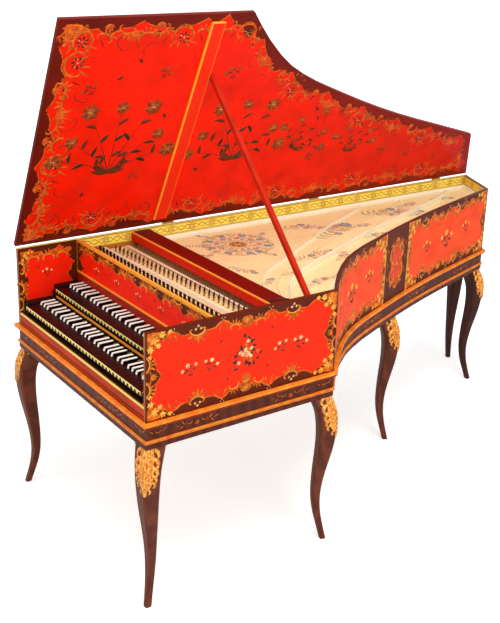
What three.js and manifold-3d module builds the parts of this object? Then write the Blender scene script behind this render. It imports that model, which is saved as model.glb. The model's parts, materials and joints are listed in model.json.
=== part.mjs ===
import * as THREE from 'three';
import { mergeVertices } from 'three/addons/utils/BufferGeometryUtils.js';
import Module from 'manifold-3d';

// A two-manual harpsichord on a cabriole stand. Millimetres, +Z up.
// X runs from the bass side to the treble side, Y from the player to the tail.

const wasm = await Module();
wasm.setup();

// Case
const naturalPitch = 23.1;
const naturalCount = 36;
const endBlockWidth = 34.6;
const seam = 0.3;
const sideThickness = 14;
const insideLeft = sideThickness + seam;
const keyboardWidth = naturalPitch * naturalCount;
const keyboardLeft = insideLeft + endBlockWidth + seam;
const caseWidth = keyboardWidth + keyboardLeft * 2;
const insideRight = caseWidth - insideLeft;
const spineLength = 2275;
const cheekLength = 722;
const tailCornerShare = 0.2612903;
const tailSetback = 107;
const sideHeight = 290;
const bottomThickness = 14;
const linerWidth = 14;
const linerDepth = 30;
const braceWidth = 18;
const braceHeight = 60;
const braceShares = [0.38, 0.55, 0.72];
const bentsideSteps = 15;
const middleLegShare = 0.6;
const bentsideShares = [
  [1, 0], [0.843, 0.068], [0.671, 0.163], [0.556, 0.259], [0.456, 0.369],
  [0.338, 0.507], [0.22, 0.664], [0.1135, 0.826], [0, 1],
];

// Stand
const standHeight = 650;
const apronHeight = 90;
const apronDepth = 40;
const mouldingProjection = 14;
const apronShares = [
  [0.14, 0], [0.14, 0.2], [0.43, 0.235], [0.43, 0.31], [0, 0.345], [0, 0.745],
  [0.36, 0.79], [1, 0.87], [1, 1],
];
const legWidth = 110;
const legCorner = 0.14;
const legSides = 4;
const legShares = [
  [0, 0.27, 0.07], [0.08, 0.285, 0.2], [0.18, 0.33, 0.36], [0.29, 0.39, 0.42], [0.4, 0.46, 0.38],
  [0.52, 0.58, 0.29], [0.645, 0.7, 0.175], [0.775, 0.8, 0.13], [0.875, 0.88, 0.17],
  [0.95, 0.96, 0.36], [1, 1, 0.5],
];

// Front of the case and the soundwell
const lipHeight = 45;
const nameboardFront = 234;
const nameboardThickness = 12;
const nameboardFoot = 130;
const nameboardDrop = 2;
const battenHeight = 40;
const battenProjection = 4;
const wrestplankFront = 249;
const wrestplankDepth = 206;
const wrestplankThickness = 45;
const soundboardDrop = 60;
const soundboardThickness = 4;
const gapWidth = 62;
const bellyRailThickness = 22;
const ledgeLength = 16;
const ledgeThickness = 18;
const roseFromSpine = 207;
const roseBehindGap = 303;
const roseRadius = 38;
const roseThickness = 2.5;
const rosePetals = 6;
const rosePetalShare = 0.58;
const rosePetalSizeShare = 0.22;
const rosePetalSides = 3;

// Strings, bridges and nuts
const noteCount = 61;
const choirOffset = 4;
const stringThickness = 0.8;
const stringHeight8 = 17;
const stringHeight4 = 9;
const bridgeWidth8 = 12;
const bridgeWidth4 = 8;
const bridgeTopShare = 0.6;
const bridgeSteps = 18;
const bridge8Shares = [
  [0.2593, 0.941], [0.2716, 0.892], [0.2993, 0.795], [0.3174, 0.743], [0.3429, 0.75], [0.3925, 0.771],
  [0.4396, 0.785], [0.4822, 0.783], [0.5495, 0.746], [0.6255, 0.699], [0.7701, 0.583],
  [0.8958, 0.357], [0.92, 0.2],
];
const bridge4Shares = [
  [0.2446, 0.945], [0.2558, 0.83], [0.2752, 0.706], [0.2919, 0.652], [0.3174, 0.592], [0.3657, 0.595],
  [0.3991, 0.59], [0.4549, 0.545], [0.4813, 0.52], [0.5446, 0.406], [0.604, 0.309],
  [0.6426, 0.243], [0.7033, 0.09],
];
const hitch4Share = 0.45;
const nut8Bass = 89;
const nut8Treble = 124;
const nut4Bass = 183;
const nut4Treble = 197;
const nutInset = 18;
const listingWidth = 6;
const listing8 = 64;
const listing4 = 170;
const hitchRailWidth = 16;
const hitchRailStart = 28;

// Jacks, their registers and the jack rail
const jackWidth = 11;
const jackThickness = 3.5;
const jackTop = 23;
const rowPitch = 16;
const rowCount = 3;
const rowStart = 13;
const registerHeight = 12;
const registerThickness = 3;
const registerPlay = 2.5;
const railWidth = 75;
const railHeight = 33;
const railWall = 7;
const railTopThickness = 10;
const railFront = 5;
const railPlay = 1.5;
const railBlock = 12;
const railBlockHeight = 17;

// Keyboards
const octaveNaturals = 7;
const octaveNotes = 12;
const keyGap = 0.8;
const keyThickness = 14;
const coverThickness = 3;
const sharpHeight = 15;
const sharpWidthShare = 0.76;
const sharpSlopeShare = 0.36;
const headLength = 44;
const lowerFront = 10;
const lowerTop = 83;
const lowerSharpEnd = 112;
const lowerPivot = 215;
const lowerTailGap = 4;
const upperFront = 127;
const upperTop = 128;
const upperSharpEnd = 229;
const upperPivot = 280;
const upperTailReach = 26;
const frameRailWidth = 40;
const lowerFrameFront = 15;
const lowerBlockTop = 90;
const lowerFrameGap = 2;
const upperFrameFront = 129;
const upperBlockFront = 136;
const upperBlockTop = 133;
const upperRailFoot = 91;
const upperRailTop = 102;
const upperFrameBottom = 94;
const upperFrameReach = 23;
const railCloth = 1;
const balanceDrop = 2;
const balanceWidth = 6;
const keyTie = 5;
const lowerTravel = 12;
const upperTravel = 10;
const octaveFirst = 19;
const octaveLast = 31;

// Lid, its hinges and the stick
const lidThickness = 14;
const lidOverhang = 2;
const lidRest = 0.5;
const lidAngle = THREE.MathUtils.degToRad(63.4);
const flapSetback = 166;
const lidSplit = 1;
const lidBattenWidth = 55;
const lidBattenThickness = 8;
const lidBattenInset = 28;
const knuckleRadius = 4;
const pinRadius = 1.8;
const boreRadius = 2.6;
const hingeStandoff = 1;
const leafThickness = 2;
const leafHeight = 46;
const hingeLength = 50;
const lidHingeShares = [0.278, 0.5965, 0.915];
const flapHingeShares = [0.16, 0.84];
const hingeSides = 8;
const stickThickness = 16;
const stickFootInset = 33;
const stickFootDrop = 14;
const stickBehindBatten = 1.5;
const stickLean = THREE.MathUtils.degToRad(46.7);
const stickGap = 0.6;
const socketLength = 26;
const socketHeight = 20;
const socketWidth = 30;

const tailCornerX = caseWidth * tailCornerShare;
const tailCornerY = spineLength - tailSetback;
const caseBottom = standHeight + seam;
const caseTop = caseBottom + sideHeight;
const bottomTop = caseBottom + bottomThickness;
const soundboardTop = caseTop - soundboardDrop;
const linerTop = soundboardTop - soundboardThickness - seam;
const wrestplankBack = wrestplankFront + wrestplankDepth;
const gapBack = wrestplankBack + gapWidth;
const lowerTail = gapBack - lowerTailGap;
const lowerFrameTail = gapBack - lowerFrameGap;
const upperTail = wrestplankBack + upperTailReach;
const upperFrameTail = wrestplankBack + upperFrameReach;
const roseY = gapBack + roseBehindGap;
const notePitch = naturalPitch * octaveNaturals / octaveNotes;
const firstNote = keyboardLeft + notePitch / 2;

const finishes = {
  lacquer: { color: 0xd8280c, roughness: 0.35, metalness: 0 },
  walnut: { color: 0x4a2416, roughness: 0.45, metalness: 0 },
  spruce: { color: 0xe6c9a0, roughness: 0.7, metalness: 0 },
  beech: { color: 0xc9a878, roughness: 0.7, metalness: 0 },
  ebony: { color: 0x1a100c, roughness: 0.35, metalness: 0 },
  bone: { color: 0xeee6d2, roughness: 0.4, metalness: 0 },
  brass: { color: 0xc79a3e, roughness: 0.35, metalness: 1 },
};

// Solids
function toManifold(geometry) {
  const bare = geometry.clone();
  bare.deleteAttribute('normal');
  bare.deleteAttribute('uv');
  const merged = mergeVertices(bare);
  return new wasm.Manifold(new wasm.Mesh({
    numProp: 3,
    vertProperties: new Float32Array(merged.attributes.position.array),
    triVerts: new Uint32Array(merged.index.array),
  }));
}

function toGeometry(manifold) {
  const mesh = manifold.getMesh();
  const geometry = new THREE.BufferGeometry();
  geometry.setAttribute('position', new THREE.BufferAttribute(mesh.vertProperties, 3));
  geometry.setIndex(new THREE.BufferAttribute(mesh.triVerts, 1));
  return geometry;
}

function join(...geometries) {
  return toGeometry(geometries.map(toManifold).reduce((whole, piece) => whole.add(piece)));
}

function cut(geometry, ...tools) {
  return toGeometry(tools.map(toManifold).reduce((left, tool) => left.subtract(tool), toManifold(geometry)));
}

// A block between two opposite corners
function block(x0, x1, y0, y1, z0, z1) {
  const geometry = new THREE.BoxGeometry(x1 - x0, y1 - y0, z1 - z0);
  return geometry.translate((x0 + x1) / 2, (y0 + y1) / 2, (z0 + z1) / 2);
}

// A board of a plan outline, from one height to another
function board(points, z0, z1, holes = []) {
  const shape = new THREE.Shape(points.map(([x, y]) => new THREE.Vector2(x, y)));
  shape.holes = holes;
  const geometry = new THREE.ExtrudeGeometry(shape, { depth: z1 - z0, bevelEnabled: false });
  return geometry.translate(0, 0, z0);
}

// A bar whose section lies in the Y-Z plane, from one x to another
function barAlongX(points, x0, x1) {
  const geometry = board(points, 0, x1 - x0);
  const turn = new THREE.Matrix4().makeBasis(
    new THREE.Vector3(0, 1, 0), new THREE.Vector3(0, 0, 1), new THREE.Vector3(1, 0, 0));
  return geometry.applyMatrix4(turn).translate(x0, 0, 0);
}

// A closed body from rings of points, joined in turn and capped or closed on itself
function skin(rings, closed) {
  const count = rings[0].length;
  const positions = rings.flat(2);
  const faces = [];
  const last = closed ? rings.length : rings.length - 1;
  for (let i = 0; i < last; i += 1) {
    const near = i * count;
    const far = ((i + 1) % rings.length) * count;
    for (let j = 0; j < count; j += 1) {
      const next = (j + 1) % count;
      faces.push(near + j, near + next, far + next, near + j, far + next, far + j);
    }
  }
  return { positions, faces };
}

function closedBody({ positions, faces }) {
  let volume = 0;
  const corner = (index) => new THREE.Vector3().fromArray(positions, index * 3);
  for (let i = 0; i < faces.length; i += 3) {
    const [a, b, c] = [faces[i], faces[i + 1], faces[i + 2]].map(corner);
    volume += a.dot(b.cross(c));
  }
  const outward = volume > 0 ? faces : faces.toReversed();
  const geometry = new THREE.BufferGeometry();
  geometry.setAttribute('position', new THREE.Float32BufferAttribute(positions, 3));
  geometry.setIndex(outward);
  return geometry;
}

// Mitre vectors of a plan path: a point plus u times its vector lies u outside both edges
function mitres(points, closed) {
  const edgeNormal = (a, b) => new THREE.Vector2(b[1] - a[1], a[0] - b[0]).normalize();
  return points.map((point, i) => {
    const before = points[(i + points.length - 1) % points.length];
    const after = points[(i + 1) % points.length];
    const first = closed || i > 0 ? edgeNormal(before, point) : edgeNormal(point, after);
    const second = closed || i < points.length - 1 ? edgeNormal(point, after) : first;
    return first.clone().add(second).divideScalar(1 + first.dot(second));
  });
}

function offset(points, distance) {
  const vectors = mitres(points, true);
  return points.map(([x, y], i) => [x + vectors[i].x * distance, y + vectors[i].y * distance]);
}

// A moulding or wall: a section of (outward, height) points carried along a plan path
function sweep(path, vectors, section, closed) {
  const rings = path.map(([x, y], i) => section.map(([u, z]) => [x + vectors[i].x * u, y + vectors[i].y * u, z]));
  const body = skin(rings, closed);
  if (!closed) {
    const flat = section.map(([u, z]) => new THREE.Vector2(u, z));
    const cap = THREE.ShapeUtils.triangulateShape(flat, []);
    const back = (rings.length - 1) * section.length;
    const wound = THREE.ShapeUtils.area(flat) > 0;
    for (const [a, b, c] of cap) {
      body.faces.push(...(wound ? [a, c, b] : [a, b, c]));
      body.faces.push(...(wound ? [back + a, back + b, back + c] : [back + a, back + c, back + b]));
    }
  }
  return closedBody(body);
}

// A bar along a polyline with its ends cut square
function bar(path, section) {
  return sweep(path, mitres(path, false), section, false);
}

// Plan of the case, anticlockwise from the bass corner at the player's side
function spline(points, steps) {
  const curve = new THREE.SplineCurve(points.map(([x, y]) => new THREE.Vector2(x, y)));
  return curve.getPoints(steps).map((point) => [point.x, point.y]);
}

const bentsideLine = spline(bentsideShares.map(([across, along]) => [
  tailCornerX + across * (caseWidth - tailCornerX),
  cheekLength + along * (tailCornerY - cheekLength),
]), bentsideSteps);
const frontCorners = [[0, 0], [caseWidth, 0]];
const outline = [...frontCorners, ...bentsideLine, [0, spineLength]];
const outlineVectors = mitres(outline, true);
const bentsideStart = frontCorners.length;
const cheekStart = bentsideStart - 1;
const spineStart = outline.length - 1;
const tailStart = spineStart - 1;
const insideOutline = offset(outline, -insideLeft);

// Where a plan line from the spine side meets the inner face of the case at a given y, and so for x
function crossing(points, value, along, across) {
  let best = 0;
  for (let i = 0; i < points.length - 1; i += 1) {
    const [a, b] = [points[i], points[i + 1]];
    const low = Math.min(a[along], b[along]);
    const high = Math.max(a[along], b[along]);
    if (value >= low && value <= high && high > low) {
      const share = (value - a[along]) / (b[along] - a[along]);
      best = Math.max(best, a[across] + share * (b[across] - a[across]));
    }
  }
  return best;
}
const insideX = (y) => crossing(insideOutline.slice(cheekStart, spineStart + 1), y, 1, 0);
const insideY = (x) => crossing(insideOutline.slice(bentsideStart, spineStart + 1), x, 0, 1);

// A side of the case between two corners of the outline, each end mitred or square
function side(first, last, section, squareFirst, squareLast) {
  const indices = [];
  for (let i = first; i <= last; i += 1) indices.push(i % outline.length);
  const path = indices.map((i) => [...outline[i]]);
  const vectors = indices.map((i) => outlineVectors[i].clone());
  const end = path.length - 1;
  const shorten = (i, towards, square) => {
    const run = new THREE.Vector2(path[towards][0] - path[i][0], path[towards][1] - path[i][1]).normalize();
    if (square) {
      const forward = towards > i ? run : run.clone().negate();
      vectors[i].set(forward.y, -forward.x);
      return;
    }
    path[i][0] += run.x * seam;
    path[i][1] += run.y * seam;
  };
  shorten(0, 1, squareFirst);
  shorten(end, end - 1, squareLast);
  return sweep(path, vectors, section, false);
}

const instrument = new THREE.Group();

function add(name, geometry, finish, parent = instrument) {
  const mesh = new THREE.Mesh(geometry, new THREE.MeshStandardMaterial(finishes[finish]));
  mesh.name = name;
  parent.add(mesh);
}

// Case: bottom with its braces, and the four sides with their liners
function bottomBoard() {
  const braces = braceShares.map((share) => {
    const y = share * spineLength;
    const reach = insideX(y + braceWidth) - linerWidth;
    return block(insideLeft + linerWidth, reach, y, y + braceWidth, caseBottom + seam, bottomTop + braceHeight);
  });
  return join(board(insideOutline, caseBottom, bottomTop), ...braces);
}

const plainSection = [[0, caseBottom], [-sideThickness, caseBottom], [-sideThickness, caseTop], [0, caseTop]];
const linedSection = [
  [0, caseBottom], [-sideThickness, caseBottom], [-sideThickness, linerTop - linerDepth],
  [-sideThickness - linerWidth, linerTop - linerDepth], [-sideThickness - linerWidth, linerTop],
  [-sideThickness, linerTop], [-sideThickness, caseTop], [0, caseTop],
];

const railBottom = caseTop - railFront - railHeight;
function railSeat(x0, x1) {
  const front = wrestplankBack + rowStart - jackWidth / 2;
  const top = railBottom - seam;
  return block(x0, x1, front, front + rowPitch * rowCount, top - railBlockHeight, top);
}

const liner = (x0, x1, y1) => block(x0, x1, gapBack + bellyRailThickness + seam, y1, linerTop - linerDepth, linerTop);

const spineBoard = join(
  side(spineStart, spineStart + 1, plainSection, false, true),
  liner(sideThickness, sideThickness + linerWidth, tailCornerY - linerWidth),
  railSeat(sideThickness, sideThickness + railBlock),
);

const flapLength = cheekLength - flapSetback;
const lidRear = flapLength + lidSplit / 2;
const stickFootX = caseWidth - stickFootInset;
const stickFront = lidRear + lidBattenWidth + stickBehindBatten;
const stickFootZ = caseTop - stickFootDrop;
const socketTop = stickFootZ - Math.sin(stickLean) * stickThickness / 2 - seam;
const cheekInside = caseWidth - sideThickness;
const cheekBoard = join(
  side(cheekStart, bentsideStart, plainSection, true, false),
  liner(cheekInside - linerWidth, cheekInside, cheekLength - linerWidth * 2),
  railSeat(cheekInside - railBlock, cheekInside),
  block(cheekInside - socketLength, cheekInside, stickFront + stickThickness / 2 - socketWidth / 2,
    stickFront + stickThickness / 2 + socketWidth / 2, socketTop - socketHeight, socketTop),
);

add('bottom_board', bottomBoard(), 'beech');
add('spine', spineBoard, 'lacquer');
add('cheek', cheekBoard, 'lacquer');
add('bentside', side(bentsideStart, tailStart, linedSection, false, false), 'lacquer');
add('tail', side(tailStart, spineStart, linedSection, false, false), 'lacquer');
add('lip_board', block(insideLeft, insideRight, 0, sideThickness, caseBottom, caseBottom + lipHeight), 'lacquer');

// Belly rail across the case behind the jacks, with the ledges that carry the registers
const registerBottom = soundboardTop - registerHeight;
function bellyRail() {
  const top = registerBottom - seam;
  const ledge = (x0, x1) => block(x0, x1, wrestplankBack + seam, gapBack, top - ledgeThickness, top);
  return join(
    block(insideLeft, insideRight, gapBack, gapBack + bellyRailThickness, bottomTop + seam, linerTop),
    ledge(insideLeft, insideLeft + ledgeLength),
    ledge(insideRight - ledgeLength, insideRight),
  );
}
add('belly_rail', bellyRail(), 'beech');
add('wrestplank', block(insideLeft, insideRight, wrestplankFront, wrestplankBack,
  soundboardTop - wrestplankThickness, soundboardTop), 'spruce');

// Nameboard over the upper keys, with the batten along its foot
const nameboardBottom = caseBottom + nameboardFoot;
add('nameboard', join(
  block(insideLeft, insideRight, nameboardFront, nameboardFront + nameboardThickness,
    nameboardBottom, caseTop - nameboardDrop),
  block(insideLeft, insideRight, nameboardFront - battenProjection, nameboardFront,
    nameboardBottom, nameboardBottom + battenHeight),
), 'lacquer');

// Soundboard and the pierced rose let into it
function disc(radius) {
  const path = new THREE.Path();
  path.absarc(roseFromSpine, roseY, radius, 0, Math.PI * 2, true);
  return path;
}

function soundboard() {
  const points = insideOutline.map(([x, y]) => [x, Math.max(y, gapBack + seam)]);
  return board(points, soundboardTop - soundboardThickness, soundboardTop, [disc(roseRadius + seam)]);
}

function rose() {
  const ring = disc(roseRadius).getPoints(rosePetals).slice(1).map((point) => [point.x, point.y]).reverse();
  const petals = [];
  for (let i = 0; i < rosePetals; i += 1) {
    const angle = (i * 2 + 1) * Math.PI / rosePetals;
    const centre = roseRadius * rosePetalShare;
    const petal = new THREE.Path();
    petal.absarc(roseFromSpine + Math.cos(angle) * centre, roseY + Math.sin(angle) * centre,
      roseRadius * rosePetalSizeShare, 0, Math.PI * 2, true);
    petals.push(new THREE.Path(petal.getPoints(rosePetalSides).slice(1)));
  }
  return board(ring, soundboardTop - roseThickness, soundboardTop, petals);
}
add('soundboard', soundboard(), 'spruce');
add('rose', rose(), 'brass');

// Bridges, nuts and the rail that takes the hitch pins
const seat = soundboardTop + seam;
function ridge(width, height) {
  const top = width * bridgeTopShare / 2;
  return [[width / 2, seat], [top, seat + height - seam * 2], [-top, seat + height - seam * 2], [-width / 2, seat]];
}
const bridgePath = (shares) => spline(shares.map(([along, across]) => {
  const y = along * spineLength;
  return [across * insideX(y), y];
}), bridgeSteps);
const bridge8Path = bridgePath(bridge8Shares);
const bridge4Path = bridgePath(bridge4Shares);
const nutPath = (bass, treble) => [
  [insideLeft + nutInset, wrestplankFront + bass], [insideRight - nutInset, wrestplankFront + treble],
];
add('bridge_8ft', bar(bridge8Path, ridge(bridgeWidth8, stringHeight8)), 'beech');
add('bridge_4ft', bar(bridge4Path, ridge(bridgeWidth4, stringHeight4)), 'beech');
add('nut_8ft', bar(nutPath(nut8Bass, nut8Treble), ridge(bridgeWidth8, stringHeight8)), 'beech');
add('nut_4ft', bar(nutPath(nut4Bass, nut4Treble), ridge(bridgeWidth4, stringHeight4)), 'beech');

function hitchRail() {
  const start = gapBack + hitchRailStart;
  const path = [
    [insideRight, start],
    ...insideOutline.slice(bentsideStart),
    [insideLeft, start],
  ];
  const top = seat + stringHeight8 - seam * 2;
  return bar(path, [[0, seat], [0, top], [-hitchRailWidth, top], [-hitchRailWidth, seat]]);
}
add('hitchpin_rail', hitchRail(), 'beech');

// Strings: each choir lies straight over its nut and bridge, and a strip of cloth holds it evenly spaced
function choir(places, endOf, stripFront, height) {
  const stripBack = stripFront + listingWidth;
  const half = stringThickness / 2;
  const points = [
    [places[0] - listingWidth, stripFront], [places[places.length - 1] + listingWidth, stripFront],
    [places[places.length - 1] + listingWidth, stripBack],
  ];
  for (const x of places.toReversed()) {
    points.push([x + half, stripBack], [x + half, endOf(x)], [x - half, endOf(x)], [x - half, stripBack]);
  }
  points.push([places[0] - listingWidth, stripBack]);
  return board(points, seat + height - seam, seat + height - seam + stringThickness);
}
const noteX = Array.from({ length: noteCount }, (_, i) => firstNote + i * notePitch);
const places8 = noteX.flatMap((x) => [x - choirOffset, x + choirOffset]);
const places4 = noteX.map((x) => x - choirOffset);
const end8 = (x) => insideY(x) - hitchRailWidth / 2;
function end4(x) {
  const [near, far] = [crossing(bridge4Path, x, 0, 1), crossing(bridge8Path, x, 0, 1)];
  return near + hitch4Share * (Math.max(near, far) - near);
}
add('strings_8ft', choir(places8, end8, wrestplankFront + listing8, stringHeight8), 'brass');
add('strings_4ft', choir(places4, end4, wrestplankFront + listing4, stringHeight4), 'brass');

// Registers: a slide along the backs of the sixty-one jacks that it steers
function register(row, footHeight) {
  const centre = wrestplankBack + rowStart + row * rowPitch + jackWidth / 2;
  const back = centre + jackWidth / 2;
  const slide = block(insideLeft + registerPlay, insideRight - registerPlay, back, back + registerThickness,
    registerBottom, soundboardTop);
  const jacks = noteX.map((x) => block(x - jackThickness / 2, x + jackThickness / 2,
    centre - jackWidth / 2, back, footHeight, soundboardTop + jackTop));
  return join(slide, ...jacks);
}
const lowerKeyTop = caseBottom + lowerTop;
const upperKeyTop = caseBottom + upperTop;
add('register_front_8ft', register(0, upperKeyTop + upperTravel), 'beech');
add('register_4ft', register(1, lowerKeyTop + lowerTravel), 'beech');
add('register_back_8ft', register(2, lowerKeyTop + lowerTravel), 'beech');

// Jack rail: a padded channel that stops the jacks, hooked down at its treble end
const railStart = wrestplankBack + railFront;
const railTop = railBottom + railHeight;
add('jack_rail', barAlongX([
  [railStart, railBottom], [railStart + railWall, railBottom],
  [railStart + railWall, railTop - railTopThickness], [railStart + railWidth - railWall, railTop - railTopThickness],
  [railStart + railWidth - railWall, railBottom], [railStart + railWidth, railBottom],
  [railStart + railWidth, railTop], [railStart, railTop],
], sideThickness + railPlay / 2, cheekInside - railPlay), 'lacquer');

// Keyboards. Each key is a lever with its cover; levers are evenly spaced within F to B and C to E.
const groupNaturals = [4, 3];
const groupLevers = [7, 5];
const sharpLevers = [[1, 3, 5], [1, 3]];
function keyTable() {
  const keys = [];
  let x = keyboardLeft;
  let naturals = 0;
  for (let group = 0; naturals < naturalCount; group = 1 - group) {
    const count = Math.min(groupNaturals[group], naturalCount - naturals);
    const lever = groupNaturals[group] * naturalPitch / groupLevers[group];
    let natural = 0;
    for (let i = 0; natural < count; i += 1) {
      const sharp = sharpLevers[group].includes(i);
      const head = x + natural * naturalPitch;
      keys.push({ sharp, left: x + i * lever, right: x + (i + 1) * lever, head });
      if (!sharp) natural += 1;
    }
    naturals += count;
    x += count * naturalPitch;
  }
  return keys;
}

function keySolid(key, manual) {
  const [left, right] = [key.left + keyGap / 2, key.right - keyGap / 2];
  const bottom = manual.top - coverThickness - keyThickness;
  const headBack = manual.front + headLength;
  if (key.sharp) {
    const inset = (right - left) * (1 - sharpWidthShare) / 2;
    const leverTop = manual.top - coverThickness;
    const lever = block(left, right, headBack + keyGap, manual.tail, bottom, leverTop);
    const front = headBack + keyGap;
    const rise = leverTop + sharpHeight;
    const slope = sharpHeight * sharpSlopeShare;
    const cap = barAlongX([
      [front, leverTop], [manual.sharpEnd, leverTop], [manual.sharpEnd, rise], [front + slope, rise],
    ], left + inset, right - inset);
    return join(lever, cap);
  }
  const headLeft = key.head + keyGap / 2;
  const headRight = key.head + naturalPitch - keyGap / 2;
  const plan = [
    [headLeft, manual.front], [headRight, manual.front], [headRight, headBack], [right, headBack],
    [right, manual.tail], [left, manual.tail], [left, headBack], [headLeft, headBack],
  ].filter(([x, y], i, all) => {
    const previous = all[(i + all.length - 1) % all.length];
    return Math.abs(x - previous[0]) > seam || Math.abs(y - previous[1]) > seam;
  });
  return board(plan, bottom, manual.top);
}

// Keys that share a node are tied by a strip let into their levers behind the player's reach
function keySet(keys, manual) {
  const bottom = manual.top - coverThickness - keyThickness;
  const tieY = manual.pivot + frameRailWidth;
  const tie = block(keys[0].left + keyGap, keys[keys.length - 1].right - keyGap, tieY, tieY + keyTie,
    bottom + keyTie, bottom + keyTie * 2);
  return join(...keys.map((key) => keySolid(key, manual)), tie);
}

const lowerManual = {
  front: lowerFront, top: caseBottom + lowerTop, sharpEnd: lowerSharpEnd, tail: lowerTail, pivot: lowerPivot,
};
const upperManual = {
  front: upperFront, top: caseBottom + upperTop, sharpEnd: upperSharpEnd, tail: upperTail, pivot: upperPivot,
};
const keys = keyTable();
const noteNames = ['c', 'c_sharp', 'd', 'd_sharp', 'e', 'f', 'f_sharp', 'g', 'g_sharp', 'a', 'a_sharp', 'b'];
add('lower_keys_bass', keySet(keys.slice(0, octaveFirst), lowerManual), 'ebony');
keys.slice(octaveFirst, octaveLast).forEach((key, i) => {
  add(`lower_key_${noteNames[i]}`, keySolid(key, lowerManual), key.sharp ? 'bone' : 'ebony');
});
add('lower_keys_treble', keySet(keys.slice(octaveLast), lowerManual), 'ebony');
add('upper_keys', keySet(keys, upperManual), 'ebony');

// Keyframes: rails across under the keys, and the end blocks beside them
const frameLeft = insideLeft;
const blockRight = keyboardLeft - seam;
function keyframe(bottom, rails, blocks) {
  const pieces = rails.map(([front, back, low, top]) =>
    block(blockRight - seam, caseWidth - blockRight + seam, front, back, low, top));
  for (const [front, back, top] of blocks) {
    pieces.push(block(frameLeft, blockRight, front, back, bottom, top));
    pieces.push(block(caseWidth - blockRight, caseWidth - frameLeft, front, back, bottom, top));
  }
  return join(...pieces);
}

const lowerLeverBottom = lowerManual.top - coverThickness - keyThickness;
const lowerFrameBottom = bottomTop + seam;
const halfRail = frameRailWidth / 2;
// A balance rail, with the low ridge along its top that the keys rock on
function balanceRail(pivot, half, bottom, leverBottom) {
  const ridgeHalf = balanceWidth / 2;
  return [
    [pivot - half, pivot + half, bottom, leverBottom - balanceDrop],
    [pivot - ridgeHalf, pivot + ridgeHalf, leverBottom - balanceDrop, leverBottom - seam],
  ];
}

add('lower_keyframe', keyframe(
  lowerFrameBottom,
  [
    [lowerFrameFront, lowerFrameFront + frameRailWidth, lowerFrameBottom, caseBottom + lipHeight],
    ...balanceRail(lowerPivot, halfRail, lowerFrameBottom, lowerLeverBottom),
    [lowerFrameTail - frameRailWidth, lowerFrameTail, lowerFrameBottom, lowerLeverBottom - railCloth],
  ],
  [[lowerFrameFront, lowerFrameTail, caseBottom + lowerBlockTop]],
), 'beech');

const upperLeverBottom = upperManual.top - coverThickness - keyThickness;
const upperSill = caseBottom + upperFrameBottom;
add('upper_keyframe', keyframe(
  caseBottom + lowerBlockTop + seam,
  [
    [upperFrameFront, upperFrameFront + halfRail, caseBottom + upperRailFoot, caseBottom + upperRailTop],
    ...balanceRail(upperPivot, halfRail / 2, upperSill, upperLeverBottom),
    [upperFrameTail - frameRailWidth, upperFrameTail, upperSill, upperLeverBottom - railCloth],
  ],
  [
    [upperFrameFront, upperFrameTail, upperLeverBottom],
    [upperBlockFront, nameboardFront - battenProjection - seam, caseBottom + upperBlockTop],
  ],
), 'beech');

// Stand: one moulded apron all round, and six cabriole legs turned out at the corners
const apronBottom = standHeight - apronHeight;
const apronSection = [
  [-apronDepth, apronBottom],
  ...apronShares.map(([out, up]) => [out * mouldingProjection, apronBottom + up * apronHeight]),
  [-apronDepth, standHeight],
];
add('stand_frame', sweep(outline, outlineVectors, apronSection, true), 'walnut');

function cabrioleLeg(corner) {
  const legTop = apronBottom - seam;
  const [x, y] = outline[corner];
  const out = outlineVectors[corner].clone().normalize();
  const rings = legShares.map(([up, width, inward]) => {
    const half = width * legWidth / 2;
    const centre = [x - out.x * inward * legWidth, y - out.y * inward * legWidth];
    const ring = [];
    for (let i = 0; i < legSides; i += 1) {
      const turn = out.clone().rotateAround(new THREE.Vector2(), i * Math.PI * 2 / legSides);
      const along = new THREE.Vector2(-turn.y, turn.x);
      for (const sideways of [-legCorner, legCorner]) {
        ring.push([
          centre[0] + half * (turn.x * (1 - legCorner) + along.x * sideways),
          centre[1] + half * (turn.y * (1 - legCorner) + along.y * sideways),
          up * legTop,
        ]);
      }
    }
    return ring;
  });
  const body = skin(rings, false);
  const count = rings[0].length;
  const back = (rings.length - 1) * count;
  for (let i = 1; i < count - 1; i += 1) {
    body.faces.push(0, i + 1, i, back, back + i, back + i + 1);
  }
  return closedBody(body);
}

const legCorners = {
  leg_front_bass: 0,
  leg_front_treble: cheekStart,
  leg_cheek: bentsideStart,
  leg_bentside: bentsideStart + Math.round(bentsideSteps * middleLegShare),
  leg_tail_treble: tailStart,
  leg_tail_bass: spineStart,
};
for (const [name, corner] of Object.entries(legCorners)) {
  add(name, cabrioleLeg(corner), 'walnut');
}

// Lid: drawn shut in its own frame, hung on an axis along the top of the spine, and turned open
const hingeX = -knuckleRadius - hingeStandoff;
const hingeZ = caseTop + lidRest;
const openLid = new THREE.Group();
openLid.position.set(hingeX, 0, hingeZ);
openLid.rotation.y = -lidAngle;
instrument.add(openLid);
const lidEdge = -hingeX;
const lidTop = lidThickness;

const lidOutline = offset(outline, lidOverhang).map(([x, y]) => [Math.max(x, 0) + lidEdge, y]);
const mainOutline = lidOutline.map(([x, y]) => [x, Math.max(y, lidRear)]);
const lidRight = caseWidth + lidOverhang + lidEdge;
add('lid', join(
  board(mainOutline, 0, lidTop),
  block(lidEdge + lidBattenInset, lidEdge + caseWidth - lidBattenInset, lidRear, lidRear + lidBattenWidth,
    -lidBattenThickness, 0),
), 'lacquer', openLid);
add('lid_flap', block(lidEdge, lidRight, -lidOverhang, flapLength - lidSplit / 2, 0, lidTop), 'lacquer', openLid);

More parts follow.
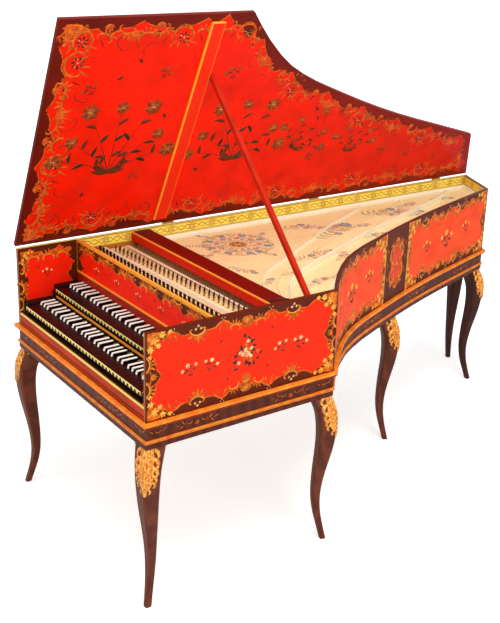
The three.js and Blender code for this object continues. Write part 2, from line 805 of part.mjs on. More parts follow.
// Hinges: a leaf with its pin, and a leaf with the bored knuckle that turns on it
function rod(radius, length) {
  return new THREE.CylinderGeometry(radius, radius, length, hingeSides);
}
function pinnedKnuckle() {
  const half = hingeLength / 2;
  return join(
    rod(knuckleRadius, half - seam).translate(0, -(half + seam) / 2, 0),
    rod(pinRadius, hingeLength - seam).translate(0, 0, 0),
  );
}
function boredKnuckle() {
  const half = hingeLength / 2;
  return cut(
    rod(knuckleRadius, half - seam).translate(0, (half + seam) / 2, 0),
    rod(boreRadius, hingeLength).translate(0, half / 2, 0),
  );
}

lidHingeShares.forEach((share, i) => {
  const y = share * spineLength;
  const half = hingeLength / 2;
  const plateRight = hingeX + knuckleRadius - seam;
  const plateTop = hingeZ - boreRadius;
  const caseLeaf = join(
    pinnedKnuckle().translate(hingeX, y, hingeZ),
    block(plateRight - leafThickness / 2, -seam, y - half, y - seam, plateTop - leafHeight, plateTop),
  );
  add(`lid_hinge_${i + 1}_case_leaf`, caseLeaf, 'brass');
  const near = lidEdge - seam;
  const lidLeaf = join(
    boredKnuckle().translate(0, y, 0),
    block(near - leafThickness / 2, near, y + seam, y + half, pinRadius, lidTop + seam + leafThickness),
    block(near - leafThickness / 2, near + leafHeight, y + seam, y + half, lidTop + seam, lidTop + seam + leafThickness),
    block(boreRadius + hingeStandoff / 2, near, y + seam, y + half, pinRadius / 2, pinRadius + leafThickness),
  );
  add(`lid_hinge_${i + 1}_lid_leaf`, lidLeaf, 'brass', openLid);
});

const flapAxisZ = lidTop + knuckleRadius + hingeStandoff;
flapHingeShares.forEach((share, i) => {
  const x = lidEdge + share * caseWidth;
  const half = hingeLength / 2;
  const turnToX = new THREE.Matrix4().makeRotationZ(-Math.PI / 2);
  const plate = [lidTop + seam, lidTop + seam + leafThickness];
  const clear = knuckleRadius + hingeStandoff;
  const lidLeaf = join(
    pinnedKnuckle().applyMatrix4(turnToX).translate(x, flapLength, flapAxisZ),
    block(x - half, x - seam, flapLength, flapLength + leafHeight, ...plate),
  );
  add(`flap_hinge_${i + 1}_lid_leaf`, lidLeaf, 'brass', openLid);
  const flapLeaf = join(
    boredKnuckle().applyMatrix4(turnToX).translate(x, flapLength, flapAxisZ),
    block(x + seam, x + half, flapLength - leafHeight, flapLength - clear + leafThickness, ...plate),
    block(x + seam, x + half, flapLength - clear, flapLength - boreRadius, lidTop + seam,
      flapAxisZ - pinRadius),
  );
  add(`flap_hinge_${i + 1}_flap_leaf`, flapLeaf, 'brass', openLid);
});

// Lid stick: it stands on a socket block inside the cheek and ends just under the open lid
const stickRun = new THREE.Vector2(-Math.cos(stickLean), Math.sin(stickLean));
const lidNormal = new THREE.Vector2(Math.sin(lidAngle), -Math.cos(lidAngle));
const footOff = new THREE.Vector2(stickFootX - hingeX, stickFootZ - hingeZ).dot(lidNormal);
const cornerOff = Math.abs(new THREE.Vector2(stickRun.y, -stickRun.x).dot(lidNormal)) * stickThickness / 2;
const stickLength = (footOff - cornerOff - stickGap) / -stickRun.dot(lidNormal);
const stick = block(0, stickLength, stickFront, stickFront + stickThickness, -stickThickness / 2, stickThickness / 2);
stick.rotateY(stickLean - Math.PI).translate(stickFootX, 0, stickFootZ);
add('lid_stick', stick, 'lacquer');

// The origin is on the floor under the middle of the object's box
instrument.updateMatrixWorld(true);
const extent = new THREE.Box3().setFromObject(instrument, true);
const middle = extent.getCenter(new THREE.Vector3());
instrument.position.set(-middle.x, -middle.y, -extent.min.z);

export default instrument;
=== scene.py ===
import json
import math

import bmesh
import bpy
from mathutils import Matrix, Vector
from mathutils.bvhtree import BVHTree


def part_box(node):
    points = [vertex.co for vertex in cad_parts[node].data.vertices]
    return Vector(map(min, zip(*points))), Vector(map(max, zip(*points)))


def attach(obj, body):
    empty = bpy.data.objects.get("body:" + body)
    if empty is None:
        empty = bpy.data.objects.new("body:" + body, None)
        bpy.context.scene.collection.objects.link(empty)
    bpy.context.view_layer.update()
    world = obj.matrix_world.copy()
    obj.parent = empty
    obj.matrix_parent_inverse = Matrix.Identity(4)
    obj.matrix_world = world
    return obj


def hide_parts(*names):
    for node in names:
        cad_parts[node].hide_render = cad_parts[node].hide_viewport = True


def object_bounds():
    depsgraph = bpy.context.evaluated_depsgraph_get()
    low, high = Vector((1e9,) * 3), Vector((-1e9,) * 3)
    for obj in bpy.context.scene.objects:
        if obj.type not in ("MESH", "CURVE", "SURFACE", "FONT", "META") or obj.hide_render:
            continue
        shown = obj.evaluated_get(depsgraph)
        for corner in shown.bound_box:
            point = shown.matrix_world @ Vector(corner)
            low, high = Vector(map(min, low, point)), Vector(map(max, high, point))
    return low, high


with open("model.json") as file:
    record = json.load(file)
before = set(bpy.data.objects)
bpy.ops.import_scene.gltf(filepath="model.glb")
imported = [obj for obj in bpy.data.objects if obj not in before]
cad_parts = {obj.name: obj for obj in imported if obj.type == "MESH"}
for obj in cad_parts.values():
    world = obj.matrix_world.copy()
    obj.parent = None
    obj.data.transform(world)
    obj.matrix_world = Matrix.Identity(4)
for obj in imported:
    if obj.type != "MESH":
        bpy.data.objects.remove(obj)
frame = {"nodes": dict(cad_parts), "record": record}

cad_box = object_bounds()
nodes = frame["nodes"]

# The studio: a pale floor and a white room. One large soft box hangs over the instrument, one stands
# off the cheek side and a weaker one stands behind the player.
world = bpy.data.worlds.new("studio")
bpy.context.scene.world = world
world.use_nodes = True
room = world.node_tree
room_light = 0.5
white = (1, 1, 1, 1)


class Measure:
    """A number that changes over a surface, worked out by Math nodes."""

    def __init__(self, tree, socket):
        self.tree = tree
        self.socket = socket

    def work(self, operation, *others):
        step = self.tree.nodes.new("ShaderNodeMath")
        step.operation = operation
        for place, value in enumerate((self, *others)):
            feed(self.tree, value, step.inputs[place])
        return Measure(self.tree, step.outputs[0])

    def __add__(self, other):
        return self.work("ADD", other)

    def __sub__(self, other):
        return self.work("SUBTRACT", other)

    def __mul__(self, other):
        return self.work("MULTIPLY", other)

    def __truediv__(self, other):
        return self.work("DIVIDE", other)

    def __abs__(self):
        return self.work("ABSOLUTE")

    def least(self, other):
        return self.work("MINIMUM", other)

    def most(self, other):
        return self.work("MAXIMUM", other)

    def wave(self):
        return self.work("COSINE")

    def ramp(self, start, end):
        """0 at start, 1 at end, held outside them."""
        step = self.tree.nodes.new("ShaderNodeMapRange")
        feed(self.tree, self, step.inputs["Value"])
        step.inputs["From Min"].default_value = start
        step.inputs["From Max"].default_value = end
        return Measure(self.tree, step.outputs["Result"])

    def past(self, edge, soft=0.0002):
        """0 below an edge and 1 above it."""
        return self.ramp(edge - soft, edge + soft)

    def short_of(self, edge, soft=0.0002):
        """1 below an edge and 0 above it."""
        return self.ramp(edge + soft, edge - soft)

    def between(self, low, high, soft=0.0004):
        return self.past(low, soft) * self.short_of(high, soft)


def feed(tree, value, socket):
    """Links a measure or an output to an input, or sets the input to a plain value."""
    if isinstance(value, Measure):
        tree.links.new(value.socket, socket)
    elif isinstance(value, bpy.types.NodeSocket):
        tree.links.new(value, socket)
    else:
        socket.default_value = value


seen = room.nodes.new("ShaderNodeLightPath")
straight, mirrored, through = [
    Measure(room, seen.outputs[f"Is {kind} Ray"]) for kind in ("Camera", "Glossy", "Transmission")]
backdrop = room.nodes["Background"]
backdrop.inputs["Color"].default_value = white
brightness = straight.most(mirrored.most(through)) * (1 - room_light) + room_light
feed(room, brightness, backdrop.inputs["Strength"])


def soft_box(name, place, target, size, power):
    """A square lamp that is turned towards a target."""
    lamp = bpy.data.lights.new(name, "AREA")
    lamp.shape = "SQUARE"
    lamp.size = size
    lamp.energy = power
    stand = bpy.data.objects.new(name, lamp)
    stand.location = place
    stand.rotation_euler = (Vector(target) - Vector(place)).to_track_quat("-Z", "Y").to_euler()
    bpy.context.scene.collection.objects.link(stand)


soft_box("overhead_box", (0.9, -0.9, 3.8), (0, 0, 0.8), 2.6, 90)
soft_box("cheek_side_box", (7.2, -0.4, 3.0), (0, 0, 0.9), 4.0, 218)
soft_box("player_side_box", (-0.6, -5.4, 2.0), (0, 0, 0.7), 3.0, 66)

floor_half_size = 40
floor_grey = (0.9, 0.9, 0.9, 1)
floor_mesh = bpy.data.meshes.new("floor")
floor_form = bmesh.new()
bmesh.ops.create_grid(floor_form, x_segments=1, y_segments=1, size=floor_half_size)
floor_form.to_mesh(floor_mesh)
floor_form.free()
floor = bpy.data.objects.new("floor", floor_mesh)
bpy.context.scene.collection.objects.link(floor)

# The floor glows towards the camera alone, fully from some way out, so that it keeps the instrument's
# shadow and still meets the room without an edge.
shadow_reach = 1.5
clear_reach = 3.5
glow_near = 0.45
floor_paint = bpy.data.materials.new("floor_paint")
floor_paint.use_nodes = True
floor_tree = floor_paint.node_tree
floor_shader = floor_tree.nodes["Principled BSDF"]
floor_shader.inputs["Base Color"].default_value = floor_grey
floor_shader.inputs["Roughness"].default_value = 0.9
floor_shader.inputs["Specular IOR Level"].default_value = 0.1
floor_shader.inputs["Emission Color"].default_value = white
floor_path = floor_tree.nodes.new("ShaderNodeLightPath")
floor_place = floor_tree.nodes.new("ShaderNodeTexCoord")
floor_reach = floor_tree.nodes.new("ShaderNodeVectorMath")
floor_reach.operation = "LENGTH"
floor_tree.links.new(floor_place.outputs["Object"], floor_reach.inputs[0])
clear = Measure(floor_tree, floor_reach.outputs["Value"]).ramp(shadow_reach, clear_reach)
glow = Measure(floor_tree, floor_path.outputs["Is Camera Ray"]) * (clear * (1 - glow_near) + glow_near)
feed(floor_tree, glow, floor_shader.inputs["Emission Strength"])
floor_mesh.materials.append(floor_paint)
bpy.context.scene.view_settings.view_transform = "Standard"

# The camera stands at the treble side of the player, above the height of the open case, and looks
# down across the keyboards to the tail.
camera_place = Vector((2.93618, -2.54414, 2.1209))
camera_azimuth = -0.947
camera_elevation = -0.33
camera_roll = 0.031
sight = Vector((
    math.sin(camera_azimuth) * math.cos(camera_elevation),
    math.cos(camera_azimuth) * math.cos(camera_elevation),
    math.sin(camera_elevation),
))
level_right = sight.cross(Vector((0, 0, 1))).normalized()
level_up = level_right.cross(sight)
camera_right = level_right * math.cos(camera_roll) + level_up * math.sin(camera_roll)
camera_up = level_up * math.cos(camera_roll) - level_right * math.sin(camera_roll)
lens = bpy.data.cameras.new("camera")
lens.sensor_width = 36
lens.lens = 61.05
lens.shift_x = -0.0035
lens.shift_y = -0.0709
camera = bpy.data.objects.new("camera", lens)
camera.matrix_world = Matrix.Translation(camera_place) @ Matrix(
    (camera_right, camera_up, -sight)
).transposed().to_4x4()
bpy.context.scene.collection.objects.link(camera)
bpy.context.scene.camera = camera

# The case walls: softwood boards under red lacquer, each face laid out as a bright panel inside a
# dark crimson border with a scalloped edge, and a thin gold line painted along that edge.
front_bass_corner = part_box("spine")[0]
case_foot = front_bass_corner.z
case_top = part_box("spine")[1].z
case_height = case_top - case_foot
wall = 0.014
case_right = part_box("cheek")[1].x
case_left = front_bass_corner.x
case_front = front_bass_corner.y
cheek_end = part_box("cheek")[1].y
tail_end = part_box("spine")[1].y


def tint(red, green, blue):
    """A colour from its usual 0 to 255 values, as the shaders take it."""
    def linear(value):
        share = value / 255
        return share / 12.92 if share <= 0.04045 else ((share + 0.055) / 1.055) ** 2.4
    return (linear(red), linear(green), linear(blue), 1)


def mixed(tree, share, first, second):
    """The first colour where the share is 0, the second where it is 1."""
    step = tree.nodes.new("ShaderNodeMix")
    step.data_type = "RGBA"
    feed(tree, share, step.inputs["Factor"])
    feed(tree, first, step.inputs["A"])
    feed(tree, second, step.inputs["B"])
    return step.outputs["Result"]


def position(tree, centre=(0, 0, 0), turn=(0, 0, 0)):
    """The three object coordinates, measured from a centre along turned axes."""
    source = tree.nodes.new("ShaderNodeTexCoord")
    shift = tree.nodes.new("ShaderNodeMapping")
    shift.vector_type = "TEXTURE"
    shift.inputs["Location"].default_value = centre
    shift.inputs["Rotation"].default_value = turn
    split = tree.nodes.new("ShaderNodeSeparateXYZ")
    tree.links.new(source.outputs["Object"], shift.inputs["Vector"])
    tree.links.new(shift.outputs["Vector"], split.inputs["Vector"])
    return shift.outputs["Vector"], [Measure(tree, axis) for axis in split.outputs]


def speckle(tree, vector, scale, detail=3.0, stretch=(1, 1, 1)):
    """Noise over a surface, from 0 to 1."""
    drawn = tree.nodes.new("ShaderNodeMapping")
    drawn.inputs["Scale"].default_value = stretch
    tree.links.new(vector, drawn.inputs["Vector"])
    texture = tree.nodes.new("ShaderNodeTexNoise")
    texture.inputs["Scale"].default_value = scale
    texture.inputs["Detail"].default_value = detail
    tree.links.new(drawn.outputs["Vector"], texture.inputs["Vector"])
    return Measure(tree, texture.outputs["Fac"])


def new_group(name, inputs, outputs):
    group = bpy.data.node_groups.new(name, "ShaderNodeTree")
    for label, kind, value in inputs:
        socket = group.interface.new_socket(label, in_out="INPUT", socket_type=kind)
        if value is not None:
            socket.default_value = value
    for label, kind in outputs:
        group.interface.new_socket(label, in_out="OUTPUT", socket_type=kind)
    return group, group.nodes.new("NodeGroupInput"), group.nodes.new("NodeGroupOutput")


def use_group(tree, group, **values):
    step = tree.nodes.new("ShaderNodeGroup")
    step.node_tree = group
    for label, value in values.items():
        feed(tree, value, step.inputs[label])
    return step.outputs


# The scalloped edge between panel and border, which all the lacquered faces share: how far a point lies
# inside the border, whose width swells and cusps along it.
scallop, scallop_in, scallop_out = new_group(
    "scalloped_edge",
    [("Distance", "NodeSocketFloat", 0.0), ("Along", "NodeSocketFloat", 0.0),
     ("Pitch", "NodeSocketFloat", 0.18), ("Border", "NodeSocketFloat", 0.05)],
    [("Inset", "NodeSocketFloat")],
)
distance, along, pitch, border = [Measure(scallop, socket) for socket in scallop_in.outputs[:4]]
turns = along / pitch * (2 * math.pi)
swell = turns.wave() * 0.25 + abs((turns * 1.5).wave()) * 0.22
feed(scallop, distance - border * (swell + 0.56), scallop_out.inputs["Inset"])

# Lacquer over wood, which all the painted boards share: brushed tone, fine crackle and a little dirt
# that has settled in it.
aged, aged_in, aged_out = new_group(
    "aged_lacquer",
    [("Vector", "NodeSocketVector", None), ("Colour", "NodeSocketColor", (1, 0, 0, 1)),
     ("Shade", "NodeSocketColor", (0.3, 0, 0, 1)), ("Amount", "NodeSocketFloat", 0.5)],
    [("Colour", "NodeSocketColor"), ("Roughness", "NodeSocketFloat"), ("Height", "NodeSocketFloat")],
)
cloud = speckle(aged, aged_in.outputs["Vector"], 9, 6, (1, 1, 2.4))
grit = speckle(aged, aged_in.outputs["Vector"], 160, 4)
crackle = aged.nodes.new("ShaderNodeTexVoronoi")
crackle.feature = "DISTANCE_TO_EDGE"
crackle.inputs["Scale"].default_value = 90
aged.links.new(aged_in.outputs["Vector"], crackle.inputs["Vector"])
crack = Measure(aged, crackle.outputs["Distance"]).ramp(0.03, 0)
dirt = (cloud.ramp(0.42, 0.78) + crack * 0.12) * Measure(aged, aged_in.outputs["Amount"])
feed(aged, mixed(aged, dirt, aged_in.outputs["Colour"], aged_in.outputs["Shade"]), aged_out.inputs["Colour"])
feed(aged, cloud * 0.2 + grit * 0.1 + 0.26, aged_out.inputs["Roughness"])
feed(aged, grit * 0.3 + cloud * 0.5 - crack * 0.4, aged_out.inputs["Height"])

bright_red = tint(255, 42, 2)
deep_red = tint(196, 22, 6)
crimson = tint(94, 28, 4)
crimson_shade = tint(52, 16, 4)
line_gold = tint(222, 108, 18)
inner_wood = tint(196, 118, 44)
edge_cream = tint(246, 222, 120)


def new_finish(name):
    finish = bpy.data.materials.new(name)
    finish.use_nodes = True
    return finish, finish.node_tree, finish.node_tree.nodes["Principled BSDF"]


def bump(tree, shader, height, depth):
    step = tree.nodes.new("ShaderNodeBump")
    step.inputs["Distance"].default_value = depth
    feed(tree, height, step.inputs["Height"])
    tree.links.new(step.outputs["Normal"], shader.inputs["Normal"])


def surfaced(tree, shader, colour, surface, depth, specular, coat=0.0, coat_rough=0.15, rough=0.0):
    """Joins a colour and a shared surface's roughness and height to the shader."""
    feed(tree, colour, shader.inputs["Base Color"])
    feed(tree, Measure(tree, surface["Roughness"]) + rough, shader.inputs["Roughness"])
    bump(tree, shader, surface["Height"], depth)
    shader.inputs["Specular IOR Level"].default_value = specular
    shader.inputs["Coat Weight"].default_value = coat
    shader.inputs["Coat Roughness"].default_value = coat_rough


def lacquer(name, edges, centre=(0, 0, 0), turn=(0, 0, 0), overlay=None, size=0.05, field=bright_red,
            border=crimson, toned=0.45):
    """Red lacquer, with its border kept along the edges that a function works out from x, y and z."""
    finish, tree, shader = new_finish(name)
    vector, (x, y, z) = position(tree, centre, turn)
    inset = None
    for far, run, step in edges(x, y, z):
        found = Measure(tree, use_group(
            tree, scallop, Distance=far, Along=run, Pitch=step, Border=size)["Inset"])
        inset = found if inset is None else inset.least(found)
    ragged = inset + (speckle(tree, vector, 70, 2) - 0.5) * 0.006
    red = use_group(tree, aged, Vector=vector, Colour=field, Shade=deep_red, Amount=toned)
    dark = use_group(tree, aged, Vector=vector, Colour=border, Shade=crimson_shade, Amount=0.6)
    colour = mixed(tree, ragged.past(0, 0.0006), dark["Colour"], red["Colour"])
    worn = speckle(tree, vector, 45, 4).ramp(0.36, 0.5)
    colour = mixed(tree, ragged.between(-0.0042, -0.0008) * worn, colour, line_gold)
    if overlay:
        colour = overlay(tree, colour, x, y, z)
    surfaced(tree, shader, colour, red, 0.0004, 0.1, 0.03, 0.12)
    return finish


def dress(node, finish):
    """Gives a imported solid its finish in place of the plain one."""
    nodes[node].data.materials.clear()
    nodes[node].data.materials.append(finish)


weld = 0.00001
flush = 0.0001


def wall_lines(node):
    """The outer and the inner top line of a wall, from the player's end to the far one."""
    copy = bmesh.new()
    copy.from_mesh(nodes[node].data)
    bmesh.ops.remove_doubles(copy, verts=copy.verts, dist=weld)
    upper = max(vert.co.z for vert in copy.verts)
    outer, inner = [], []
    for vert in copy.verts:
        sides = [face for face in vert.link_faces if abs(face.normal.z) < 0.1]
        if vert.co.z < upper - flush or not sides:
            continue
        broad = max(sides, key=lambda face: face.calc_area())
        chosen = outer if broad.normal.x > 0 else inner
        chosen.append(Vector((vert.co.x, vert.co.y)))
    copy.free()
    return sorted(outer, key=lambda p: p.y), sorted(inner, key=lambda p: p.y)


bent_outer, bent_inner = wall_lines("bentside")
tail_outer, tail_inner = wall_lines("tail")


def run_lengths(line):
    """How far along a plan line each of its points lies."""
    lengths = [0.0]
    for before, after in zip(line, line[1:]):
        lengths.append(lengths[-1] + (after - before).length)
    return lengths


def follow(tree, value, pairs):
    """Looks a number up along a curve of (from, to) pairs."""
    low, high = pairs[0][0], pairs[-1][0]
    least = min(result for _, result in pairs)
    most = max(result for _, result in pairs)
    look = tree.nodes.new("ShaderNodeFloatCurve")
    curve = look.mapping.curves[0]
    spread = [((start - low) / (high - low), (result - least) / (most - least)) for start, result in pairs]
    curve.points[0].location = spread[0]
    curve.points[1].location = spread[-1]
    for start, result in spread[1:-1]:
        curve.points.new(start, result)
    look.mapping.update()
    feed(tree, (value - low) / (high - low), look.inputs["Value"])
    return Measure(tree, look.outputs["Value"]) * (most - least) + least


def panel_edges(run, z, start, length, step):
    """The four edges of a wall's panel, each as its distance, its run and its scallop's pitch."""
    middle = run - (start + length / 2)
    level = z - (case_foot + case_height / 2)
    return [
        (z - case_foot, middle, step), (level * -1 + case_height / 2, middle, step),
        (run - start, level, rise_pitch), (middle * -1 + length / 2, level, rise_pitch),
    ]


def bare_inside(across, deep, edge=crimson):
    """Covers a wall's inner face with bare varnished wood, and its top edge with one colour."""
    def overlay(tree, colour, x, y, z):
        grain = speckle(tree, position(tree)[0], 22, 5, (1, 0.2, 3))
        wood = mixed(tree, grain, inner_wood, tint(150, 84, 34))
        covered = mixed(tree, across(x, y, z).past(deep, 0.0005), colour, wood)
        return mixed(tree, z.past(case_top - 0.001), covered, edge)
    return overlay


cheek_length = cheek_end - case_front
spine_length = tail_end - case_front
cheek_pitch = cheek_length / 4
spine_pitch = spine_length / 12
rise_pitch = case_height / 2
dress("cheek", lacquer(
    "cheek_lacquer",
    lambda x, y, z: panel_edges(y, z, case_front, cheek_length, cheek_pitch),
    overlay=bare_inside(lambda x, y, z: x * -1 + case_right, wall / 2),
))
dress("spine", lacquer(
    "spine_lacquer",
    lambda x, y, z: panel_edges(y, z, case_front, spine_length, spine_pitch),
    overlay=bare_inside(lambda x, y, z: x - case_left, wall / 2, edge_cream),
))

bent_runs = run_lengths(bent_outer)
bent_length = bent_runs[-1]
medallion_middle = bent_length * 0.49
medallion_half = 0.105
heart_half_width = 0.052
heart_half_height = 0.088


def bentside_run(y):
    """How far along the bentside a point lies."""
    return follow(y.tree, y, [(point.y, length) for point, length in zip(bent_outer, bent_runs)])


def bentside_edges(x, y, z):
    run = bentside_run(y)
    first = medallion_middle - medallion_half
    second = medallion_middle + medallion_half
    middle = abs(run - medallion_middle)
    level = z - (case_foot + case_height / 2)
    return [
        (z - case_foot, run, first / 4), (level * -1 + case_height / 2, run, first / 4),
        (run, level, rise_pitch), (run * -1 + bent_length, level, rise_pitch),
        (middle - medallion_half + 0.03, level, rise_pitch * 10),
    ]


def bent_depth(x, y, z):
    """How far a point lies inwards of the bentside's inner face, less than zero within the wall."""
    inner_x = follow(y.tree, y, [(point.y, point.x) for point in bent_inner])
    return (x - inner_x) * -1


def bentside_overlay(tree, colour, x, y, z):
    """The red heart of the medallion, then the wall's bare inner face and its dark top edge."""
    aside = (bentside_run(y) - medallion_middle) / heart_half_width
    rise = (z - (case_foot + case_height / 2)) / heart_half_height
    vector = position(tree)[0]
    ragged = (aside * aside + rise * rise).work("SQRT") + (speckle(tree, vector, 40, 2) - 0.5) * 0.2
    heart = mixed(tree, speckle(tree, vector, 60, 3).ramp(0.4, 0.6), tint(240, 60, 14), tint(206, 66, 16))
    colour = mixed(tree, ragged.ramp(1.0, 0.98), colour, heart)
    line = abs(abs(bentside_run(y) - medallion_middle) - medallion_half).ramp(0.0075, 0.0065)
    worn = speckle(tree, vector, 55, 3).ramp(0.36, 0.46)
    colour = mixed(tree, line * worn, colour, tint(236, 150, 40))
    return bare_inside(bent_depth, -0.001, tint(84, 36, 26))(tree, colour, x, y, z)


# The bentside's panel is a lighter, more orange red than the cheek's: a painted sheen.
dress("bentside", lacquer(
    "bentside_lacquer", bentside_edges, overlay=bentside_overlay,
    size=0.05, field=tint(255, 76, 18),
))

tail_line = tail_outer[-1] - tail_outer[0]
tail_angle = math.atan2(tail_line.y, tail_line.x)
tail_start = (tail_outer[0].x, tail_outer[0].y, 0)
dress("tail", lacquer(
    "tail_lacquer",
    lambda x, y, z: panel_edges(x, z, 0, tail_line.length, tail_line.length / 2),
    centre=tail_start, turn=(0, 0, tail_angle),
    overlay=bare_inside(lambda x, y, z: y, wall / 2),
))

# Painted ornament: scrolls, leaves and blossoms laid on with a brush, a little proud of the lacquer.
# Each design is drawn flat in millimetres as tapering strokes, then laid over the face that it suits.
paints = {}


def toned_finish(name, light, dark, scale, detail, rough, spread, metallic=0.0, stretch=(1, 1, 1), span=None):
    """A finish whose colour and roughness drift together, by one speckle."""
    finish, tree, shader = new_finish(name)
    tone = speckle(tree, position(tree)[0], scale, detail, stretch)
    feed(tree, mixed(tree, tone.ramp(*span) if span else tone, light, dark), shader.inputs["Base Color"])
    feed(tree, tone * spread + rough, shader.inputs["Roughness"])
    shader.inputs["Metallic"].default_value = metallic
    return finish, tree, shader, tone


def paint_finish(name, colour, shade, metallic=0.0):
    finish, tree, shader, _ = toned_finish(
        name, colour, shade, 60, 4, 0.35, 0.25, metallic, span=(0.35, 0.68))
    shader.inputs["Specular IOR Level"].default_value = 0.2
    bump(tree, shader, speckle(tree, position(tree)[0], 700, 3), 0.0003)
    paints[name] = finish


paint_finish("gold_leaf", tint(236, 124, 20), tint(150, 62, 10), 0.1)
paint_finish("gold_light", tint(255, 196, 84), tint(240, 150, 40), 0.1)
paint_finish("dark_leaf", tint(46, 52, 28), tint(24, 20, 14))
paint_finish("cream_petal", tint(250, 214, 150), tint(222, 150, 92))
paint_finish("orange_petal", tint(238, 120, 24), tint(170, 62, 14))
paint_finish("rose_petal", tint(228, 146, 130), tint(196, 104, 96))
paint_finish("blue_petal", tint(142, 154, 182), tint(104, 116, 150))
paint_finish("pale_leaf", tint(156, 160, 124), tint(122, 128, 98))
paint_finish("blush_petal", tint(244, 206, 192), tint(224, 168, 156))
paint_order = list(paints)


def scroll(length, curl, width, colour="gold_leaf", bend=1.5):
    """A C scroll: a long curve that rolls up at both ends."""
    steps = 20
    points = []
    u = v = 0.0
    for i in range(steps + 1):
        t = 2 * i / steps - 1
        points.append((u, v, width * (1 - 0.6 * abs(t) ** 2)))
        heading = bend * t + curl * t ** 5
        reach = length / steps * (1 - 0.55 * t ** 4)
        u += reach * math.cos(heading)
        v += reach * math.sin(heading)
    middle_u, middle_v, _ = points[steps // 2]
    return [(colour, [(a - middle_u, b - middle_v, w) for a, b, w in points])]


def leaf(length, width, bend=0.5, colour="gold_leaf"):
    """One stroke that swells from its foot and ends in a point, to the side that it bends to."""
    points = []
    for i in range(6):
        t = i / 5
        fullness = math.sin(math.pi * min(1, t * 0.9 + 0.12)) ** 0.8
        points.append((length * t, length * bend * t * t * 0.6, width * max(0.08, fullness)))
    return [(colour, points)]


def moved(motif, u, v, turn=0.0, size=1.0, flip=False):
    """The same strokes, first flipped over their own u, then scaled, turned and moved."""
    side = -1 if flip else 1
    c, s = math.cos(turn), math.sin(turn)
    placed = []
    for colour, points in motif:
        placed.append((colour, [
            (u + size * (a * c - b * side * s), v + size * (a * s + b * side * c), w * size)
            for a, b, w in points
        ]))
    return placed


def turned_spot(u, v, turn):
    """Where a point comes to lie when its design is turned about its foot."""
    return u * math.cos(turn) - v * math.sin(turn), u * math.sin(turn) + v * math.cos(turn)


def fan(count, length, width, spread, colour="gold_leaf"):
    """A shell of leaves that open from one point, upwards."""
    motif = []
    for i in range(count):
        share = 2 * i / (count - 1) - 1
        reach = length * (1 - 0.35 * share * share)
        motif += moved(leaf(reach, width, 0.5 * share, colour), 0, 0, math.pi / 2 - share * spread)
    return motif


def blossom(size, petals, colour="cream_petal", heart="orange_petal"):
    """Petals round a heart."""
    motif = []
    for i in range(petals):
        motif += moved(leaf(size, size * 0.75, 0, colour), 0, 0, 2 * math.pi * i / petals + 0.3)
    return motif + [(heart, [(-size * 0.2, 0, size * 0.5), (size * 0.2, 0, size * 0.5)])]


def sprig(size, colours=("cream_petal", "orange_petal"), leaves="dark_leaf"):
    """Three small blossoms on forked stems with a few leaves, drawn about 50 mm tall at size 1."""
    motif = [(leaves, [(0, 0, 0.8), (2, 14, 1.2), (-1, 30, 0.8)]),
             (leaves, [(2, 12, 0.8), (10, 22, 1), (18, 26, 0.7)]),
             (leaves, [(1, 16, 0.8), (-9, 24, 1), (-16, 25, 0.7)])]
    motif += moved(blossom(7, 5, *colours), -1, 34) + moved(blossom(5.5, 5, *colours), 20, 28)
    motif += moved(blossom(5.5, 5, *colours), -18, 27)
    for u, v, turn in [(1, 6, 0.5), (0, 8, 2.5), (8, 20, -0.3), (-8, 22, 3.4), (3, 24, 0.9), (-3, 22, 2.2)]:
        motif += moved(leaf(10, 4, 0.3, leaves), u, v, turn)
    return moved(motif, 0, 0, 0, size)


def nosegay(size):
    """A full bunch of blossoms among dark leaves, about 150 mm across at size 1."""
    motif = []
    golden_turn = 2.4
    narrowed = 0.85
    for i in range(26):
        turn = i * golden_turn
        reach = 14 + 7 * i % 47
        lean = 0.5 if i % 2 else -0.5
        u, v = turned_spot(reach, 0, turn)
        motif += moved(leaf(17, 8, lean, "dark_leaf"), u * narrowed, v, turn + lean)
    for i in range(17):
        turn = i * golden_turn + 1.1
        reach = 5 * i % 53
        petals = ("orange_petal", "cream_petal") if i % 3 == 1 else ("cream_petal", "orange_petal")
        u, v = turned_spot(reach, 0, turn)
        motif += moved(blossom(9.5 - 0.04 * reach, 6, *petals), u * narrowed, v, turn)
    return moved(motif, 0, 0, 0, size)


def acanthus(size, colour="gold_leaf"):
    """A C scroll with three leaves that break from its back, about 90 mm long at size 1."""
    motif = scroll(88, 3.6, 8, colour)
    breaks = [(-18, 3, 3.7), (-8, -1, 4.3), (0, -2, 4.7), (8, -1, 5.1), (18, 3, 5.7)]
    for i, (u, v, turn) in enumerate(breaks):
        motif += moved(leaf(18 - abs(i - 2) * 2.5, 7, 0.3 * (i - 2), colour), u, v, turn)
    if colour == "gold_leaf":
        motif += moved(scroll(80, 3.6, 2.6, "gold_light"), 0, 3.6)
    return moved(motif, 0, 0, 0, size)


def corner_spray(size, colour="gold_leaf", petals="gold_light"):
    """Leaves and a pair of blossoms for a corner, opening along both edges from it."""
    motif = []
    for turn, length in [(0.06, 56), (0.3, 44), (0.55, 40), (0.8, 38), (1.05, 40), (1.27, 44), (1.51, 56)]:
        motif += moved(leaf(length, 8, 0.25 * (0.8 - turn), colour), 4, 4, turn)
    for u, v, reach in [(20, 20, 12), (40, 11, 9), (11, 40, 9), (34, 30, 7), (58, 9, 6), (9, 58, 6)]:
        motif += moved(blossom(reach, 6, petals, "dark_leaf"), u, v)
    return moved(motif, 0, 0, 0, size)


